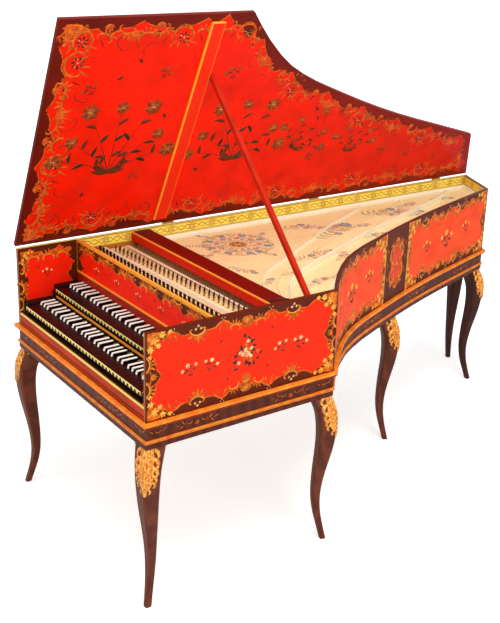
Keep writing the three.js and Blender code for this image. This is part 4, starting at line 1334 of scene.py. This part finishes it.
# Bridges, nuts and the hitchpin rail: pale beech, sawn and bent to their curves. The nuts are glued to the
# wrestplank, the bridges and the rail to the soundboard.
bridge_wood = grained(
    "pale_bridge_wood", tint(255, 253, 236), tint(255, 242, 210), 30, rough=0.12, coat=0.1)
for node in ("bridge_8ft", "bridge_4ft", "nut_8ft", "nut_4ft", "hitchpin_rail"):
    dress(node, bridge_wood)

# The strings: two choirs of brass wire, from a hitch pin over bridge and nut to a tuning pin. The tuning
# pins are blued iron, driven into the wrestplank, with the wire's end coiled round them.
wire = toned_finish(
    "polished_wire", tint(224, 196, 140), tint(168, 128, 74), 60, 2, 0.2, 0.2, 0.9, (1, 0.02, 1))[0]
pin_iron, _, pin_shader, _ = toned_finish("blued_pin", tint(8, 6, 8), tint(30, 22, 24), 300, 3, 0.4, 0.3)
pin_shader.inputs["Specular IOR Level"].default_value = 0.2


def string_ends(node):
    """Each string of a choir as its x, its first and its last y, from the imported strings."""
    narrow_mm = 0.45
    wire_spread = 0.0012
    found = {}
    for vert in nodes[node].data.vertices:
        place = round((vert.co.x - case_left) * 1000 / narrow_mm)
        found.setdefault(place, []).append(vert.co)
    strings = {}
    for points in found.values():
        middle = sum(point.x for point in points) / len(points)
        key = next((known for known in strings if abs(known - middle) < wire_spread), middle)
        low, high = strings.get(key, (9, -9))
        ys = [point.y for point in points]
        strings[key] = (min([low, *ys]), max([high, *ys]))
    return sorted((x, low, high) for x, (low, high) in strings.items() if high - low > 0.1)


def rod(form, start, end, radius, sides=6, taper=1.0, material=0):
    """A closed round bar between two points, added to a bmesh."""
    axis = end - start
    turned = axis.to_track_quat("Z", "Y").to_matrix().to_4x4()
    made = bmesh.ops.create_cone(
        form, cap_ends=True, segments=sides, radius1=radius, radius2=radius * taper, depth=axis.length,
        matrix=Matrix.Translation((start + end) / 2) @ turned)
    for face in {face for vert in made["verts"] for face in vert.link_faces}:
        face.material_index = material


pin_radius = 0.0031
coil_radius = 0.0034
coil_rise = Vector((0, 0, 0.007))
coil_half = Vector((0, 0, 0.0012))
hitch_radius = 0.0007
string_level_8ft = 897.35
string_level_4ft = 889.3


def choir(name, node, radius, level, nut_gap, pin_rows, pin_top):
    """One choir: its wires, its hitch pins and its tuning pins with a coil of wire on each."""
    wires = bmesh.new()
    pins = bmesh.new()
    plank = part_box("wrestplank")[1].z
    for index, (x, low, high) in enumerate(string_ends(node)):
        pin_foot = Vector((x, case_front + pin_rows(index) / 1000, plank))
        coil = pin_foot + coil_rise
        nut = Vector((x, low + nut_gap, level / 1000))
        end = Vector((x, high - 0.002, level / 1000))
        hitch = end + Vector((0.0008, 0, 0))
        rod(wires, coil + Vector((0.0028, 0.002, 0)), nut, radius, 4)
        rod(wires, nut, end, radius, 4)
        rod(pins, pin_foot, Vector((*pin_foot.xy, pin_top / 1000)), pin_radius, 6, 0.9)
        rod(pins, coil - coil_half, coil + coil_half, coil_radius, 8, 1, 1)
        rod(pins, hitch - Vector((0, 0, 0.006)), hitch + Vector((0, 0, 0.0025)), hitch_radius, 5, 1, 1)
    strings = new_piece(f"{name}_strings", wires, [wire], "root")
    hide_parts(node)
    new_piece(f"{name}_pins", pins, [pin_iron, wire], "root")


def pair_rows(index):
    return 284 if (index // 2) % 2 else 306


def slanting_rows(index):
    return 372 + 42 * index / 60 + (12 if index % 2 else 0)


choir("choir_8ft", "strings_8ft", 0.00022, string_level_8ft, 0.026, pair_rows, 915)
choir("choir_4ft", "strings_4ft", 0.0002, string_level_4ft, 0.02, slanting_rows, 904)

# Bridge and nut pins: short brass pins, each leaning against its string. They are driven into the top
# of the rail that carries the string.
pin_level_8ft = 0.896
pin_level_4ft = 0.888
pin_row = bmesh.new()
for rail_node, choir_node, level in [
        ("bridge_8ft", "strings_8ft", pin_level_8ft), ("bridge_4ft", "strings_4ft", pin_level_4ft),
        ("nut_8ft", "strings_8ft", pin_level_8ft), ("nut_4ft", "strings_4ft", pin_level_4ft)]:
    rail = bmesh.new()
    rail.from_mesh(nodes[rail_node].data)
    rail_faces = BVHTree.FromBMesh(rail)
    for x, _, _ in string_ends(choir_node):
        hit = rail_faces.ray_cast(Vector((x, case_front, level)), Vector((0, 1, 0)))[0]
        if hit:
            foot = Vector((x + 0.0009, hit.y + 0.003, level))
            rod(pin_row, foot, foot + Vector((-0.0002, 0, 0.0035)), 0.0006, 5)
    rail.free()
new_piece("bridge_pins", pin_row, [wire], "root")

# Listing cloth: two strips of red felt, woven over and under the strings between the tuning pins and the
# nuts, where they keep the wires' short ends from sounding.
felt, felt_tree, felt_shader, felt_fuzz = toned_finish(
    "damper_felt", tint(190, 26, 20), tint(120, 10, 14), 900, 3, 0.8, 0.2)
felt_shader.inputs["Sheen Weight"].default_value = 0.5
bump(felt_tree, felt_shader, felt_fuzz, 0.0004)
folds = 122
cloth_width = 6


def listing_cloth(name, node, bass_y, treble_y, level):
    """A red strip woven over and under the strings of one choir, from its bass to its treble end."""
    low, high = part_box(node)
    form = bmesh.new()
    bmesh.ops.create_grid(form, x_segments=folds, y_segments=1, size=0.5)
    for vert in form.verts:
        share = vert.co.x + 0.5
        y = bass_y + (treble_y - bass_y) * share + cloth_width * (vert.co.y + 0.5)
        over = 1.1 if round(share * folds) % 2 else -1.1
        vert.co = Vector((low.x + (high.x - low.x) * share, case_front + y / 1000, (level + over) / 1000))
    bmesh.ops.solidify(form, geom=form.faces[:], thickness=0.0006)
    bmesh.ops.recalc_face_normals(form, faces=form.faces[:])
    new_piece(name, form, [felt], "root")


coil_level = (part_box("wrestplank")[1].z + coil_rise.z) * 1000
listing_cloth("listing_8ft", "strings_8ft", 316, 338, coil_level + (string_level_8ft - coil_level) * 0.6)
listing_cloth("listing_4ft", "strings_4ft", 418, 432, coil_level + (string_level_4ft - coil_level) * 0.7)

# The action: three pearwood registers that stand full of jacks and slide a little along their slots.
# Every jack carries a scrap of red felt, which damps its string.
flag_thickness = 0.0022
flag_height = 0.007
jack_wood = grained("pearwood", tint(206, 150, 100), tint(160, 100, 62), 60, upright, 0.1)
for node in ("register_front_8ft", "register_4ft", "register_back_8ft"):
    dress(node, jack_wood)
    low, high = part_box(node)
    tops = [vert.co.x for vert in nodes[node].data.vertices if vert.co.z > high.z - 0.0005]
    jack_sides = sorted({round(x, 5) for x in tops})
    flags = bmesh.new()
    for left, right in zip(jack_sides[::2], jack_sides[1::2]):
        block(flags, ((left + right) / 2, (low.y + high.y) / 2, high.z + 0.0015),
              (right - left - 0.002, flag_thickness, flag_height))
    new_piece(f"{node}_dampers", flags, [felt], node)

# The jack rail: a hollow softwood rail lacquered red, with a gold bead along its front edge. An iron
# hook on the treble wall holds it down over the jacks.
rail_low, rail_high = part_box("jack_rail")
# The rail's top is painted darker than its front, as shade.
rail_top_painted_shade = tint(104, 11, 4)
rail_bead = 0.005


def rail_marks(tree, colour, x, y, z):
    """A darker top, which is painted shade, and a gold bead along its front edge."""
    colour = mixed(tree, z.past(rail_high.z - 0.001), colour, rail_top_painted_shade)
    bead = z.past(rail_high.z - rail_bead) * y.short_of(rail_low.y + rail_bead)
    return mixed(tree, bead, colour, bead_gold)


dress("jack_rail", plain_lacquer("jack_rail_lacquer", tint(214, 26, 6), deep_red, rail_marks))
black_iron = toned_finish("black_iron", tint(18, 15, 16), tint(48, 40, 40), 200, 4, 0.15, 0.25, 0.5)[0]
hook_points = [
    (914, 545, 925), (909, 541, 936.6), (902, 530, 938), (896, 512, 938.2), (890, 494, 938.2),
    (886, 478, 938), (889, 468, 937.8), (896, 467, 937.6), (899, 474, 937.4),
]
hook_line = bpy.data.curves.new("rail_hook", "CURVE")
hook_line.dimensions = "3D"
hook_line.bevel_depth = 0.0018
hook_line.bevel_resolution = 3
hook_line.use_fill_caps = True
hook_path = hook_line.splines.new("NURBS")
hook_path.points.add(len(hook_points) - 1)
for point, place in zip(hook_path.points, hook_points):
    point.co = (*at(*place), 1)
hook_path.use_endpoint_u = True
hook_line.materials.append(black_iron)
hook = bpy.data.objects.new("rail_hook", hook_line)
bpy.context.scene.collection.objects.link(hook)
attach(hook, "root")

# The keyboards: limewood levers, the naturals covered in ebony with gilt and cream arcades on their
# fronts, the sharps topped with bone. The lower keys rock in the case, the upper ones in a frame.
bone = tint(255, 253, 248)
ebony = tint(38, 6, 8)
cover_depth = 0.003
sharp_rise = 0.00975


def key_finish(name, top, front, sharp_front):
    """Ebony on the naturals and down their fronts, bone slips on the sharps, bare wood at the back."""
    finish, tree, shader = new_finish(name)
    vector, (x, y, z) = position(tree)
    wood = use_group(tree, grain_group, Vector=vector, Light=ebony, Dark=tint(18, 7, 8), Scale=50)
    bone_tone = speckle(tree, vector, 90, 4, (1, 0.15, 1))
    covered = z.past(top - cover_depth) * y.short_of(name_low.y + 0.004, 0.002)
    colour = mixed(tree, covered, tint(206, 170, 120), wood["Colour"])
    stained = y.short_of(front + 0.0025, 0.0005).most(z.past(top + 0.00015, 0.00015))
    colour = mixed(tree, stained, colour, wood["Colour"])
    slip = z.past(top + sharp_rise, 0.00015)
    slope = (y - sharp_front - (z - top) * 0.36).ramp(0.0034, 0.003)
    slip = slip.most(slope * z.past(top + 0.0008))
    colour = mixed(tree, slip, colour, mixed(tree, bone_tone, bone, tint(236, 226, 204)))
    surfaced(tree, shader, colour, wood, 0.0001, 0.14)
    return finish


lower_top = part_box("lower_key_c")[1].z
upper_top = lower_top + 0.045
lower_front = case_front + 0.01
upper_front = case_front + 0.127
sharp_setback = 0.0448
lower_finish = key_finish("lower_key_covers", lower_top, lower_front, lower_front + sharp_setback)
upper_finish = key_finish("upper_key_covers", upper_top, upper_front, upper_front + sharp_setback)
key_nodes = [name for name in nodes if name.startswith("lower_key_")]
key_nodes += ["lower_keys_bass", "lower_keys_treble", "upper_keys"]
for node in key_nodes:
    form = bmesh.new()
    form.from_mesh(nodes[node].data)
    bmesh.ops.remove_doubles(form, verts=form.verts, dist=weld)
    bmesh.ops.dissolve_limit(form, angle_limit=0.02, verts=form.verts, edges=form.edges)
    bmesh.ops.recalc_face_normals(form, faces=form.faces)
    keys = new_piece(f"{node}_eased", form, [upper_finish if node == "upper_keys" else lower_finish], node)
    easing = keys.modifiers.new("eased_edges", "BEVEL")
    easing.width = 0.0007
    easing.segments = 2
    easing.limit_method = "ANGLE"
    easing.angle_limit = 0.6
    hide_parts(node)

# The arcades: an arch of cream and gilt paper embossed under a bead, glued to the front of each natural.
# The naturals' pitch and the first one's place are those of the keyboards.
arcade_cream = toned_finish("arcade_gilding", tint(255, 244, 150), tint(255, 214, 96), 260, 4, 0.3, 0.2)[0]
natural = 0.0231
first_natural = 0.0492
key_gap = 0.0011
arcade_skin = 0.0001
cover = 0.0012
arcade_depth = 0.0009
arch_foot = 0.0136
arch_radius = 0.0086
arch_height = 0.0102


def arcade(form, left, front, top):
    """One key front: a bead over a round arch with a small cusp on each side."""
    width = natural - 0.0018
    outline = [(0, 0), (0, -arch_foot)]
    for i in range(11):
        turn = math.pi - math.pi * i / 10
        outline.append((width / 2 + math.cos(turn) * arch_radius, math.sin(turn) * arch_height - arch_foot))
    outline += [(width, -arch_foot), (width, 0)]
    verts = [form.verts.new((left + x, front, top + z)) for x, z in outline]
    face = form.faces.new(verts)
    raised = bmesh.ops.extrude_face_region(form, geom=[face])["geom"]
    bmesh.ops.translate(form, verts=[item for item in raised if isinstance(item, bmesh.types.BMVert)],
                        vec=(0, -arcade_depth, 0))
    block(form, (left + width / 2, front - arcade_depth, top - 0.0012), (width, 0.0016, 0.0024))


octave_keys = ["c", "d", "e", "f", "g", "a", "b"]
fronts = {}
for i in range(36):
    if i < 11:
        body = "lower_keys_bass"
    elif i < 18:
        body = f"lower_key_{octave_keys[i - 11]}"
    else:
        body = "lower_keys_treble"
    fronts.setdefault(body, []).append((i, lower_front - arcade_skin, lower_top - cover))
    fronts.setdefault("upper_keys", []).append((i, upper_front - arcade_skin, upper_top - cover))
for body, places in fronts.items():
    form = bmesh.new()
    for i, front, top in places:
        arcade(form, case_left + first_natural + natural * i + key_gap, front, top)
    bmesh.ops.recalc_face_normals(form, faces=form.faces)
    new_piece(f"{body}_arcades", form, [arcade_cream], body)

# The keyframes: beech, stained black where their end blocks show beside the keys. Along the lower frame's
# front, under the keys, the black is painted shade. A gilt moulding runs along the front of the upper frame
# and slides with it.
black_stain_and_shade = tint(30, 12, 12)


def stain_and_shade_marks(tree, colour, x, y, z):
    """Black stain on the end blocks, and black as painted shade along the frame's front."""
    # The frame's front under the keys: painted shade.
    near = y.short_of(case_front + 0.0725, 0.0025)
    return mixed(tree, near.most(z.past(0.71675, 0.00025)), colour, black_stain_and_shade)


dress("lower_keyframe", grained(
    "beech_stained_and_shaded", beech, beech_ring, 22, across_case, 0.25, marks=stain_and_shade_marks))
dress("upper_keyframe", plain_lacquer("upper_frame_stain", black_stain_and_shade, tint(16, 8, 8)))
slab("upper_front_moulding", at(49.5, 125.9, 742.2), at(880.5, 128.9, 751.4),
     plain_lacquer("moulding_gilding", bead_gold, tint(190, 90, 24)), "upper_manual", 0.0012)

# The lid: two softwood boards under red lacquer, hinged to the spine, with a batten across the main
# lid behind the flap. Inside it is painted like the case, its broad scrolls framing loose bouquets.
hinge_gap = 0.005
lid_hinge = Vector((case_left - hinge_gap, 0, 0.9408))
lid_lean = math.radians(63.4)
lid_up = Vector((math.cos(lid_lean), 0, math.sin(lid_lean)))
lid_out = Vector((-math.sin(lid_lean), 0, math.cos(lid_lean)))
lid_turn = (0, -lid_lean, 0)
lid_shift = hinge_gap - case_left
lid_margin = 0.002
lid_pitch = 0.24
tail_pitch = 0.16
lid_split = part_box("lid_flap")[1].y
lid_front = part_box("lid_flap")[0].y
lid_red = tint(252, 26, 0)
lid_border = tint(112, 16, 4)
lid_width = case_right - case_left + 0.007
bent_normals = []
for i, point in enumerate(bent_outer):
    step = bent_outer[min(i + 1, len(bent_outer) - 1)] - bent_outer[max(i - 1, 0)]
    bent_normals.append(abs(step.normalized().y))
tail_step = (tail_outer[-1] - tail_outer[0]).normalized()
tail_normal = Vector((-tail_step.y, tail_step.x))
if tail_normal.y < 0:
    tail_normal = -tail_normal
tail_reach = (tail_outer[0] + Vector((lid_shift, 0))).dot(tail_normal) + lid_margin


def lid_edges(x, y, z):
    """The main lid's edges: the hinged one, the one over the bentside and the one over the tail."""
    edge_x = follow(y.tree, y, [(case_front, lid_width)] + [
        (point.y, point.x + lid_shift + lid_margin) for point in bent_outer])
    slope = follow(y.tree, y, [(case_front, 1.0)] + [
        (point.y, normal) for point, normal in zip(bent_outer, bent_normals)])
    run = follow(y.tree, y, [(case_front, 0.0)] + [
        (point.y, cheek_length + run) for point, run in zip(bent_outer, bent_runs)])
    across = (x * tail_normal.x + y * tail_normal.y) * -1 + tail_reach
    return [
        (x - hinge_gap, y, lid_pitch), ((edge_x - x) * slope, run, lid_pitch), (across, x, tail_pitch)]


def flap_edges(x, y, z):
    return [
        (x - hinge_gap, y, lid_pitch), (x * -1 + lid_width, y, lid_pitch), (y - lid_front, x, lid_pitch)]


batten_back = lid_split + 0.056


def batten_marks(tree, colour, x, y, z):
    """The batten stands proud of the inside; its front edge is gilt, with a fine line behind."""
    colour = mixed(tree, y.ramp(lid_split, tail_end) * 0.55, colour, tint(166, 20, 2))
    proud = z.short_of(-0.0004, 0.0001)
    colour = mixed(tree, proud, colour, tint(244, 40, 8))
    front_line = y.short_of(lid_split + 0.006)
    end_line = x.past(lid_width - 0.03375, 0.00025)
    colour = mixed(tree, proud * front_line.most(end_line), colour, tint(255, 168, 46))
    rear_line = y.between(batten_back - 0.0045, batten_back - 0.0015)
    colour = mixed(tree, proud * rear_line, colour, tint(250, 110, 24))
    sides = z.between(0.0005, 0.0135)
    rim = y.short_of(lid_split + 0.0016, 0.0004)
    return mixed(tree, sides * rim, colour, crimson)


dress("lid", lacquer(
    "lid_lacquer", lid_edges, lid_hinge, lid_turn, batten_marks, 0.06, lid_red, lid_border, 0.75))
dress("lid_flap", lacquer(
    "flap_lacquer", flap_edges, lid_hinge, lid_turn, None, 0.06, lid_red, lid_border, 0.6))
paint_finish("lid_scroll", tint(236, 104, 20), tint(186, 62, 10))
paint_finish("umber", tint(112, 44, 12), tint(70, 30, 12))
paint_finish("ochre_petal", tint(176, 82, 22), tint(120, 44, 14))
paint_order += ["lid_scroll", "umber", "ochre_petal"]

# The lid's paintings, inside and out: a run of broad scrolls along every edge, and loose bouquets and
# sprigs in dark strokes on the ground between them.
inside_face = -0.0001
outside_face = 0.0141
bent_in_lid = [((point.y - case_front) * 1000, (point.x + lid_shift) * 1000 + 2) for point in bent_outer]


def lid_reach(u):
    """How far up the lid its edge lies, at a place along the instrument."""
    for (near_u, near_v), (far_u, far_v) in zip(bent_in_lid, bent_in_lid[1:]):
        if near_u <= u <= far_u:
            return near_v + (far_v - near_v) * (u - near_u) / (far_u - near_u)
    return lid_width * 1000 if u < bent_in_lid[0][0] else bent_in_lid[-1][1]


def lid_place(u, v, out):
    """u runs from the front along the instrument, v from the hinges up the open lid."""
    u = max(u, 2)
    v = min(max(v, 7), lid_reach(u) - 4)
    return lid_hinge + lid_up * (v / 1000) + Vector((0, case_front + u / 1000, 0)) + lid_out * out


def lay_in_lid(u, v, h):
    return lid_place(u, v, inside_face - h / 1000)


def lay_on_lid(u, v, h):
    return lid_place(u, v, outside_face + h / 1000)


def roundel(size):
    """A broad C scroll that holds a cluster of dark leaves and small cream buds."""
    motif = scroll(230, 3.0, 9, "lid_scroll", 2.6) + moved(scroll(170, 3.2, 5, "gold_leaf", 2.4), 3, -9)
    for turn in (0.6, 1.2, 1.9, 2.5):
        u, v = turned_spot(36, 0, turn)
        motif += moved(leaf(30, 8, 0.6, "lid_scroll"), u, 60 - v * 0.2, turn)
    for i in range(7):
        turn = i * 0.9
        motif += moved(leaf(15, 8, 0.3, "dark_leaf"), 9 * math.cos(turn), 40 + 9 * math.sin(turn), turn)
    for u, v in [(-12, 36), (8, 50), (12, 32), (-4, 52), (0, 40)]:
        motif += moved(blossom(3.6, 5), u, v)
    for side in (-1, 1):
        motif += moved(acanthus(1.25, "lid_scroll"), side * 84, 16, 0.4 * side, 1, side > 0)
        motif += moved(leaf(34, 5, 0.5 * side, "umber"), side * 62, 34, 0.8 if side > 0 else 2.3)
    return moved(motif, 0, 0, 0, size)


def tendrils(size):
    """A pair of broad scrolls about a shell, with thin dark curls above them."""
    motif = moved(acanthus(1.3, "lid_scroll"), -38, 16, 0.3)
    motif += moved(acanthus(1.3, "lid_scroll"), 38, 16, -0.3, 1, True)
    motif += moved(fan(7, 44, 8, 1.2, "lid_scroll"), 0, 6)
    for u, turn in [(-54, 0.9), (54, 2.2)]:
        motif += moved(scroll(110, 3.6, 3, "umber"), u, 62, turn)
    for side in (-1, 1):
        motif += moved(leaf(30, 4.5, 0.6 * side, "ochre_petal"), side * 16, 44, 1.2 if side > 0 else 1.9)
    return moved(motif, 0, 0, 0, size)


def along_edge(path, size, pitch, inset, first=0):
    """Lays roundels and tendrils in turn along an edge whose inner side is its left hand."""
    points = [Vector(point) for point in path]
    runs = run_lengths(points)
    count = max(1, round(runs[-1] / pitch))
    design = []
    for i in range(count):
        run = runs[-1] * (i + 0.5) / count
        k = max(j for j in range(len(points) - 1) if runs[j] <= run)
        step = (points[k + 1] - points[k]).normalized()
        spot = points[k] + step * (run - runs[k]) + Vector((-step.y, step.x)) * inset
        motif = roundel(size) if (i + first) % 2 == 0 else tendrils(size)
        if i + 1 < count:
            between = moved(fan(5, 34, 7, 1.2, "lid_scroll"), 0, -22)
            between += moved(fan(3, 30, 4, 0.8, "umber"), 0, 8)
            between += moved(scroll(60, 3.4, 4, "lid_scroll"), 0, 22, 2.8)
            motif = motif + moved(between, pitch / 2, 0, 0, size)
        design += moved(motif, spot.x, spot.y, math.atan2(step.y, step.x))
    return design


def bouquet(height, stems, spread):
    """Stems that rise from one foot, with broad leaves and open blossoms."""
    motif = []
    for i in range(stems):
        share = 2 * i / (stems - 1) - 1
        reach = height * (1 - 0.3 * abs(share)) * (0.85 if i % 2 else 1)
        turn = math.pi / 2 - share * spread
        line = []
        for j in range(9):
            t = j / 8
            line.append((reach * t, -reach * 0.25 * share * t * t, height * 0.014 * (1.1 - t)))
            if j in (2, 4, 6):
                side = 1 if (i + j) % 4 == 0 else -1
                broad = leaf(height * 0.13, height * 0.045, 0.5 * side, "umber" if j != 4 else "dark_leaf")
                motif += moved(broad, *turned_spot(*line[-1][:2], turn), turn + 0.7 * side)
        motif += moved([("umber", line)], 0, 0, turn)
        bloom = blossom(height * (0.085 if i % 2 else 0.11), 6, "ochre_petal", "cream_petal")
        bloom += moved(blossom(height * 0.05, 5, "orange_petal", "dark_leaf"), 0, 0, 0.5)
        motif += moved(bloom, *turned_spot(*line[-1][:2], turn))
    for side in (-1, 1):
        for k in range(3):
            motif += moved(leaf(height * 0.2, height * 0.05, 0.6 * side, "umber"), 0, 0,
                           math.pi / 2 - side * (1.2 + 0.25 * k))
    return motif


def scattered(sprigs, leaves):
    """Loose dark sprigs and pairs of leaves, for the ground between the scrolls."""
    design = []
    for u, v, size, turn in sprigs:
        design += moved(sprig(size, ("ochre_petal", "orange_petal"), "umber"), u, v, turn)
    for u, v, turn in leaves:
        design += moved(leaf(26, 9, 0.4, "umber") + leaf(20, 7, -0.6, "dark_leaf"), u, v, turn)
    return design


flap_mm = (lid_split - lid_front) * 1000
width_mm = lid_width * 1000
flap_foot = along_edge([(0, 5), (flap_mm, 5)], 1.0, 200, 46, 1)
flap_rim = along_edge([(flap_mm, width_mm), (0, width_mm)], 1.0, 200, 46)
flap_design = flap_foot + flap_rim + along_edge([(0, width_mm - 60), (0, 60)], 1.1, 200, 48)
for v, turn in [(20, 0), (width_mm - 16, -0.5 * math.pi)]:
    flap_design += moved(corner_spray(1.3, "lid_scroll", "orange_petal"), 22, v, turn)
flap_design += moved(bouquet(330, 7, 1.0), 300, 300)
flap_design += scattered(
    [(170, 640, 1.4, 0.5), (420, 690, 1.3, -0.4), (430, 250, 1.2, 0.8)],
    [(250, 700, 0.4), (130, 420, 1.2), (480, 520, 2.0), (210, 200, 0.9), (330, 760, 2.2)])
paint("lid_flap_painting", flap_design, lay_in_lid, "lid_flap", 0.3)

batten_mm = (batten_back - case_front) * 1000
main_foot = along_edge([(batten_mm, 5), (2240, 5)], 0.95, 205, 44)
main_rim = along_edge(bent_in_lid[::-1] + [(batten_mm, width_mm)], 0.9, 205, 46, 1)
main_design = main_foot + main_rim + along_edge([(2262, 20), bent_in_lid[-1]], 0.7, 260, 40, 1)
main_design += moved(bouquet(300, 7, 1.1), 830, 290) + moved(bouquet(200, 5, 0.9), 1130, 300, -0.5)
main_design += moved(bouquet(180, 5, 0.8), 1430, 250, -0.2)
main_design += scattered(
    [(720, 660, 1.6, 0.3), (1010, 620, 1.3, -0.6), (1240, 220, 1.4, 0.4), (1620, 200, 1.4, -0.3),
     (1800, 170, 1.2, 0.3), (1320, 440, 1.2, 0.2), (1980, 130, 1.0, 0)],
    [(700, 480, 0.4), (950, 540, 1.2), (1180, 480, 2.0), (1540, 340, 0.9), (690, 250, 2.2)])
paint("lid_painting", main_design, lay_in_lid, "lid", 0.3)

outside_flap = flap_foot + moved(bouquet(300, 5, 0.8), 280, 320) + flap_rim
paint("lid_flap_back_painting", outside_flap, lay_on_lid, "lid_flap", 0.3)
outside_main = main_foot + main_rim
outside_main += moved(bouquet(300, 5, 0.9), 850, 300) + moved(bouquet(200, 5, 0.8), 1350, 240)
paint("lid_back_painting", outside_main, lay_on_lid, "lid", 0.3)

# The lid stick: a square softwood stick under dark red lacquer. It stands in a socket block on the cheek
# and leans against the lid to hold it up.
dress("lid_stick", plain_lacquer("stick_lacquer", tint(186, 34, 6), tint(116, 20, 6)))

# The hinges: cast brass butts, three along the spine for the lid and two between it and its flap. Each
# leaf is held by three screws with slotted heads.
hinge_finish = toned_finish(
    "aged_brass", tint(206, 160, 74), tint(120, 82, 34), 120, 4, 0.2, 0.35, 0.9, span=(0.35, 0.7))[0]
screw_radius = 0.0032
screw_height = 0.0003
slot_size = (0.0007, 0.005, 0.0002)
bearers = {name: body for body, names in frame["record"]["behaviour"]["bodies"].items() for name in names}
for node in [name for name in nodes if name.endswith("_leaf")]:
    dress(node, hinge_finish)
    outer_faces = [face for face in nodes[node].data.polygons if face.normal.x < -0.3]
    plate = max(outer_faces, key=lambda face: face.area)
    out = plate.normal.copy()
    plate_corners = [
        vert.co for vert in nodes[node].data.vertices if abs((vert.co - plate.center).dot(out)) < 0.0002]
    heart = sum(plate_corners, Vector()) / len(plate_corners)
    half_span = max(abs(corner.y - heart.y) for corner in plate_corners)
    faced = out.to_track_quat("Z", "Y").to_matrix().to_4x4()
    screws = bmesh.new()
    for share in (-0.62, 0.0, 0.62):
        head = heart + Vector((0, half_span * share, 0))
        rod(screws, head - out * screw_height, head + out * screw_height, screw_radius, 12, 0.8)
        cut = block(screws, head + out * screw_height, slot_size, faced)
        for face in {face for vert in cut for face in vert.link_faces}:
            face.material_index = 1
    heads = new_piece(f"{node}_screws", screws, [hinge_finish, pin_iron], bearers[node])
